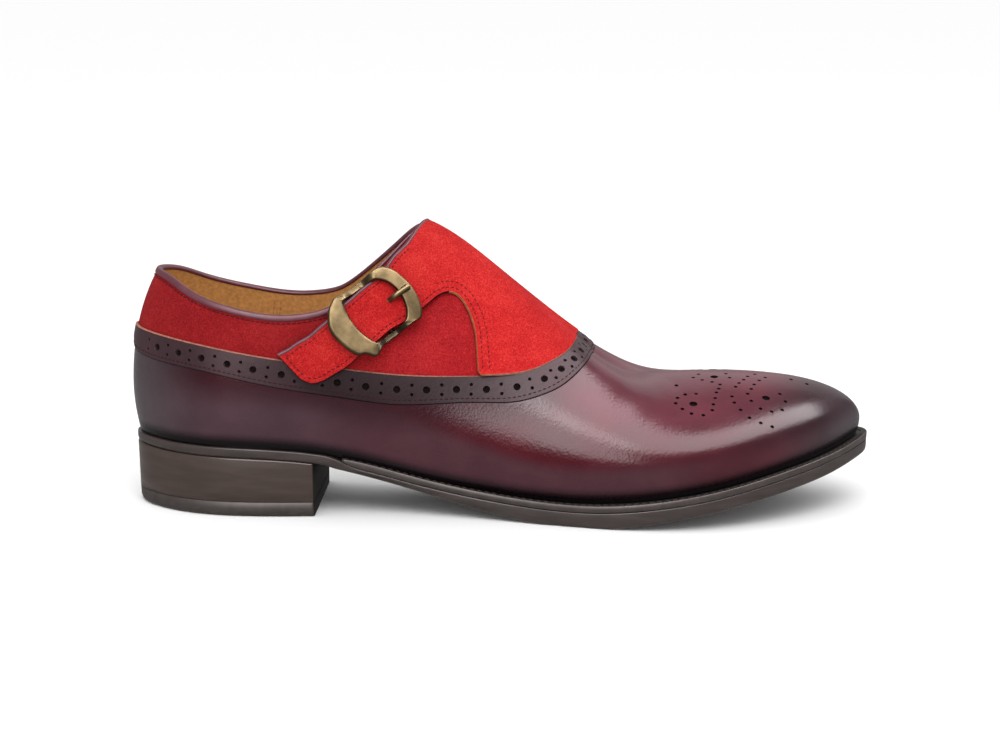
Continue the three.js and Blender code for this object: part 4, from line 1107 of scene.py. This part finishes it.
def liningPiece():
    turns = np.concatenate([np.linspace(0, apexTurn, 80), np.linspace(apexTurn, math.pi, 60)[1:]])
    s = np.linspace(0, 1, liningLook["rows"])[None]
    low, high = collarV(turns, -1)[:, None], collarV(turns, 1)[:, None]
    v = np.concatenate([-1 + (low + 1) * s, high + (1 - high) * s], 1)
    t = np.repeat(turns[:, None], v.shape[1], 1)
    faces = [f for f in gridFaces(*v.shape, flip=True) if f[0] % v.shape[1] != liningLook["rows"] - 1]
    points = lifted(t, v, np.full(v.shape, -liningLook["inside"]))
    place("lining", points.reshape(-1, 3), faces, ["lining"])
    seam = Pile()
    seamTurn = float(turnOf(liningLook["seamAt"] / sole["length"]))
    for way in (-1, 1):
        v = np.linspace(float(collarV(seamTurn, 1)) + 0.03, 0.93, 60)
        t = np.full(60, seamTurn + way * liningLook["seamHalf"])
        line = lifted(t, v, np.full(60, -liningLook["inside"] - 0.1))
        stitchRow(seam, line, -skinNormal(t, v), liningLook["stitch"], liningLook["step"])
    seam.finish("lining_seam", ["tanEdge"], "lining")


liningPiece()


def sockPiece():
    turns = np.linspace(0, math.pi, 120)
    inset = section["feather"](turns) + sockLook["inset"]
    outer, inner = (np.stack(insetEdge(turns, s, inset), -1) for s in (-1.0, 1.0))
    w = np.linspace(0, 1, 9)[None, :, None]
    flat = outer[:, None] + (inner - outer)[:, None] * w
    z = treadHeight(flat[..., 0]) + sockLook["height"] + sockLook["curl"] * (2 * w[..., 0] - 1) ** 4
    place("sock", np.dstack([flat, z]).reshape(-1, 3), gridFaces(120, 9), ["lining"], ["insole"])


sockPiece()
print("inside made")

# Binding rolled over the collar's edge: its profile runs out and down from the edge
bindingLook = {
    "out": [0.05, 0.5, 0.68, 0.7, 0.5, -0.1, -0.9, -1.6, -2.1, -2.2, -2.1, -1.6, -1.0],
    "down": [2.0, 1.9, 1.1, 0.1, -0.4, -0.7, -0.8, -0.7, -0.4, 0.1, 0.6, 0.7, 0.3],
    "stitchIn": 2.9, "outerLift": 0.15, "innerFrom": 0.14,
}


def bindingPiece():
    half = apexTurn * (1 - (1 - np.linspace(0, 1, 110)) ** 1.4)
    turns = np.concatenate([half, half[1:-1][::-1]])
    vs = np.concatenate([collarV(half, -1), collarV(half[1:-1][::-1], 1)])
    points, normals = skin(turns, vs), skinNormal(turns, vs)
    widths = np.where(vs < 0, 1 - 0.6 * smooth(turns, 0.82 * apexTurn, 0.97 * apexTurn), 1)
    widths = np.where(turns > 0.985 * apexTurn, 0.4, widths)
    profile = list(zip(bindingLook["out"], bindingLook["down"]))
    pts, faces = tubeAlong(points, normals, profile, True, widths)
    place("topline_binding", pts, faces, ["binding"], ["topline_binding"])
    thread = Pile()
    sewn = half[(half > bindingLook["innerFrom"]) & (half < half[-12])]
    outer = np.column_stack([half[:-12], collarV(half[:-12], -1)])
    inner = np.column_stack([sewn, collarV(sewn, 1)])
    for line, lift in ((outer, lambda t, v: bindingLook["outerLift"] + 0 * t), (inner, strapFace)):
        for way in (1, -1):
            q, pts, n = besideLine(line, way * bindingLook["stitchIn"], lift)
            if abs(q[40, 1]) > abs(line[40, 1]):     # the row below the collar's edge
                stitchRow(thread, pts, n)
    thread.finish("binding_stitches", ["thread"], "binding")


bindingPiece()


# Piping along the strap's upper edge
pipingLook = {"out": 0.72, "across": 0.8, "lift": 0.7}


def pipingPiece():
    t, v = strapTop[:, 0], strapTop[:, 1]
    line = lifted(t, v, strapLift(t, v) + pipingLook["lift"])
    tube, faces = tubeAlong(line, skinNormal(t, v), ringProfile(pipingLook["out"], pipingLook["across"], 12))
    place("strap_piping", tube, faces, ["binding"])


pipingPiece()


# Buckle: its own axes run along the strap, across it and out from the upper
def fromBuckle(a, b, out):
    a, b, out = np.broadcast_arrays(np.asarray(a, float), np.asarray(b, float), np.asarray(out, float))
    return buckleMid + a[..., None] * buckleAlong + b[..., None] * buckleAcross + out[..., None] * buckleOut


def buckleHeight(a, b):
    dip = (buckle["clear"] - buckle["pivotClear"]) * (1 - smooth(np.abs(a), 1.9, 7.8))
    return buckle["clear"] - dip - 0.0026 * a ** 2 - 0.0018 * b ** 2


buckleRows = {
    "outerLong": [-12.2, -15.1, -17.8, -19.3, -19.3, -18.2, -17.0, -15.7, -13.9, -12.6, -10.9, -9.4, -7.5, -5.9,
                  -1.6, 5.6, 10.6, 13.7, 15.7, 17.2, 17.8, 17.8, 17.1, 16.0, 14.1, 11.2, 5.6, 0.0, -6.0, -10.2],
    "outerWide": [12.6, 10.8, 7.4, 3.9, -0.6, -5.7, -9.0, -10.8, -11.5, -12.6, -14.9, -15.3, -14.6, -13.6,
                  -13.2, -13.0, -13.0, -13.0, -10.6, -6.6, -3.0, 0.6, 4.6, 8.5, 11.6, 13.4, 13.4, 13.2, 13.0,
                  13.4],
    "innerLong": [-8.4, -8.9, -9.5, -10.0, -10.0, -9.7, -9.1, -8.4, -7.8, -7.3, -6.9, -6.5, -6.0, -5.0, -1.0,
                  4.0, 6.6, 8.6, 10.3, 11.4, 12.0, 12.2, 11.8, 10.8, 9.0, 6.6, 3.4, 0.0, -4.0, -7.0],
    "innerWide": [10.0, 8.4, 6.0, 3.0, -0.4, -3.6, -6.0, -8.2, -9.4, -10.3, -10.7, -10.8, -10.9, -10.9, -10.8,
                  -10.8, -10.6, -9.4, -7.2, -4.6, -2.2, 0.6, 3.4, 6.2, 8.6, 10.2, 10.4, 10.5, 10.4, 10.4],
    "across": [0.0, 0.0, 0.04, 0.1, 0.16, 0.5, 0.84, 0.9, 0.96, 1.0, 1.0],
    "rise": [0.0, 0.6, 0.84, 0.97, 1.0, 0.93, 1.0, 0.97, 0.84, 0.6, 0.0],
}
prongPath = [(1.1, 4.9), (4.0, 5.0), (6.8, 5.4), (8.2, 6.8), (9.2, 8.0), (10.8, 8.75), (13, 8.9), (16.2, 8.75),
             (16.7, 8.4)]
prongProfile = [(-0.5, -1.0), (-0.5, 1.0), (0.2, 1.05), (0.5, 0.8), (0.56, 0.0), (0.5, -0.8), (0.2, -1.05)]
tabPath = [(-10.0, 0.5), (-6.0, 0.6), (-3.0, 0.7), (0.0, 0.6), (2.6, 1.2), (3.3, 2.7), (2.6, 4.2), (1.1, 4.7),
           (-0.6, 4.0)]


# A line in the buckle's middle plane, along and out, with normals across its run
def buckleLine(path, per):
    path = catmull(path, per)
    line = fromBuckle(path[:, 0], 0 * path[:, 0], path[:, 1])
    return line, unit(np.cross(np.gradient(line, axis=0), buckleAcross))


def bucklePiece():
    outer = catmull(np.column_stack([buckleRows["outerLong"], buckleRows["outerWide"]]), 5, True)
    inner = catmull(np.column_stack([buckleRows["innerLong"], buckleRows["innerWide"]]), 5, True)
    rings = []
    for w, h in zip(buckleRows["across"], buckleRows["rise"]):
        a, b = (outer + (inner - outer) * w).T
        rings.append(fromBuckle(a, b, buckleHeight(a, b) + buckle["thick"] * h))
    rings = np.stack(rings, 1)
    n, k = rings.shape[:2]
    mid = (outer + inner) / 2
    mats = []
    for along, side in mid:
        darkFrom = (3 if side < 0 else 7) if abs(along) < buckle["railHalf"] else 8
        mats += [int(j >= darkFrom) for j in range(k)]
    obj = place("buckle_frame", rings.reshape(-1, 3), gridFaces(n, k, True, True), ["brass", "gunmetal"],
                ["buckle_frame"], mats)
    bevel = obj.modifiers.new("edges", "BEVEL")
    bevel.width, bevel.segments = buckle["bevel"], 2
    bevel.limit_method, bevel.angle_limit = "ANGLE", math.radians(28)
    prong = Pile()
    half, bar = buckle["barHalf"], buckle["bar"]
    line = fromBuckle(np.full(9, bar), np.linspace(-half, half, 9), np.full(9, buckle["pivotClear"] + bar))
    prong.add(*tubeAlong(line, np.tile(buckleOut, (9, 1)), ringProfile(bar, bar, 12)), 1)
    line, normals = buckleLine(prongPath, 5)
    normals *= np.sign(normals @ buckleOut)[:, None]
    prong.add(*tubeAlong(line, normals, prongProfile))
    a, b = np.array([10.6, 10.6, 16.9, 16.9]), np.array([-1.35, 1.35, 1.35, -1.35])
    high = buckleHeight(a, b) + buckle["thick"] * 0.97 + 0.03
    block = np.concatenate([fromBuckle(a, b, high), fromBuckle(a, b, high - 0.6)])
    prong.add(block, [(0, 3, 2, 1), (0, 1, 5, 4), (1, 2, 6, 5), (2, 3, 7, 6), (3, 0, 4, 7)], 1)
    prong.finish("buckle_prong", ["brass", "gunmetal"], "buckle", ["buckle_prong"])


bucklePiece()


# Tab: a loop of suede round the buckle's middle bar, under the strap
def tabPiece():
    line, normals = buckleLine(tabPath, 4)
    deep, wide = buckle["tabThick"] / 2, buckle["tabHalf"]
    pts, faces = tubeAlong(line, normals, [(-deep, -wide), (-deep, wide), (deep, wide), (deep, -wide)])
    place("buckle_tab", pts, faces, ["suedeRear"], ["buckle_tab"])


tabPiece()
print("trim made")

# Floor and light: a soft sky light for the form, and two long strips that only the gloss shows
stage = {"floor": 80.0, "shade": 0.97, "world": 0.38}
lights = {
    "sky": {"kind": "SUN", "at": (0.02, -0.3, 1.5), "aim": (0, 0, 0), "power": 2.0, "soft": 150.0,
            "shine": False},
    "softbox": {"at": (0.12, -0.9, 1.0), "aim": (0.02, 0, 0.05), "power": 9.0, "size": (1.0, 0.7),
                "shine": False},
    "back": {"at": (0.05, 1.35, 0.8), "aim": (0.05, 0, 0.05), "power": 2.6, "size": (2.2, 0.7)},
    "sheen": {"at": (0.3, -0.66, 1.25), "aim": (0.3, -0.66, 0.0), "power": 86.0, "size": (3.1, 0.72),
              "roll": 55.0, "colour": (1.0, 0.93, 0.95), "glow": False},
    "front": {"at": (-0.49, -1.36, 0.73), "aim": (0.05, 0, 0.05), "power": 22.0, "size": (0.5, 1.2),
              "colour": (1.0, 0.93, 0.95), "glow": False},
}
bpy.ops.mesh.primitive_plane_add(size=stage["floor"])
floor = bpy.context.object
floor.name = "floor"
floorMaterial, _, _, floorShader = newMaterial("floor")
shade = stage["shade"]
setInputs(floorShader, {"Base Color": (shade, shade, shade, 1), "Roughness": 0.9, "Specular IOR Level": 0.0})
floor.data.materials.append(floorMaterial)
floor.visible_glossy = False

world = bpy.data.worlds.new("world")
world.use_nodes = True
setInputs(world.node_tree.nodes["Background"], {"Color": (1, 1, 1, 1), "Strength": stage["world"]})
bpy.context.scene.world = world


# A light at a place; glow lets it light the form, shine lets it show in the gloss
def addLight(name, at, aim, power, kind="AREA", size=None, soft=0, roll=0, colour=(1, 1, 1), glow=True,
             shine=True):
    data = bpy.data.lights.new(name, kind)
    data.energy = power
    data.color = colour
    if size:
        data.shape = "RECTANGLE"
        data.size, data.size_y = size
    else:
        data.angle = math.radians(soft)
    obj = bpy.data.objects.new(name, data)
    obj.location = at
    obj.rotation_euler = (Vector(aim) - Vector(at)).to_track_quat("-Z", "Y").to_euler()
    obj.rotation_euler.rotate_axis("Z", math.radians(roll))
    obj.visible_diffuse, obj.visible_glossy = glow, shine
    bpy.context.scene.collection.objects.link(obj)


for lightName, look in lights.items():
    addLight(lightName, **look)
bpy.context.scene.view_settings.view_transform = "Standard"
print("stage set")
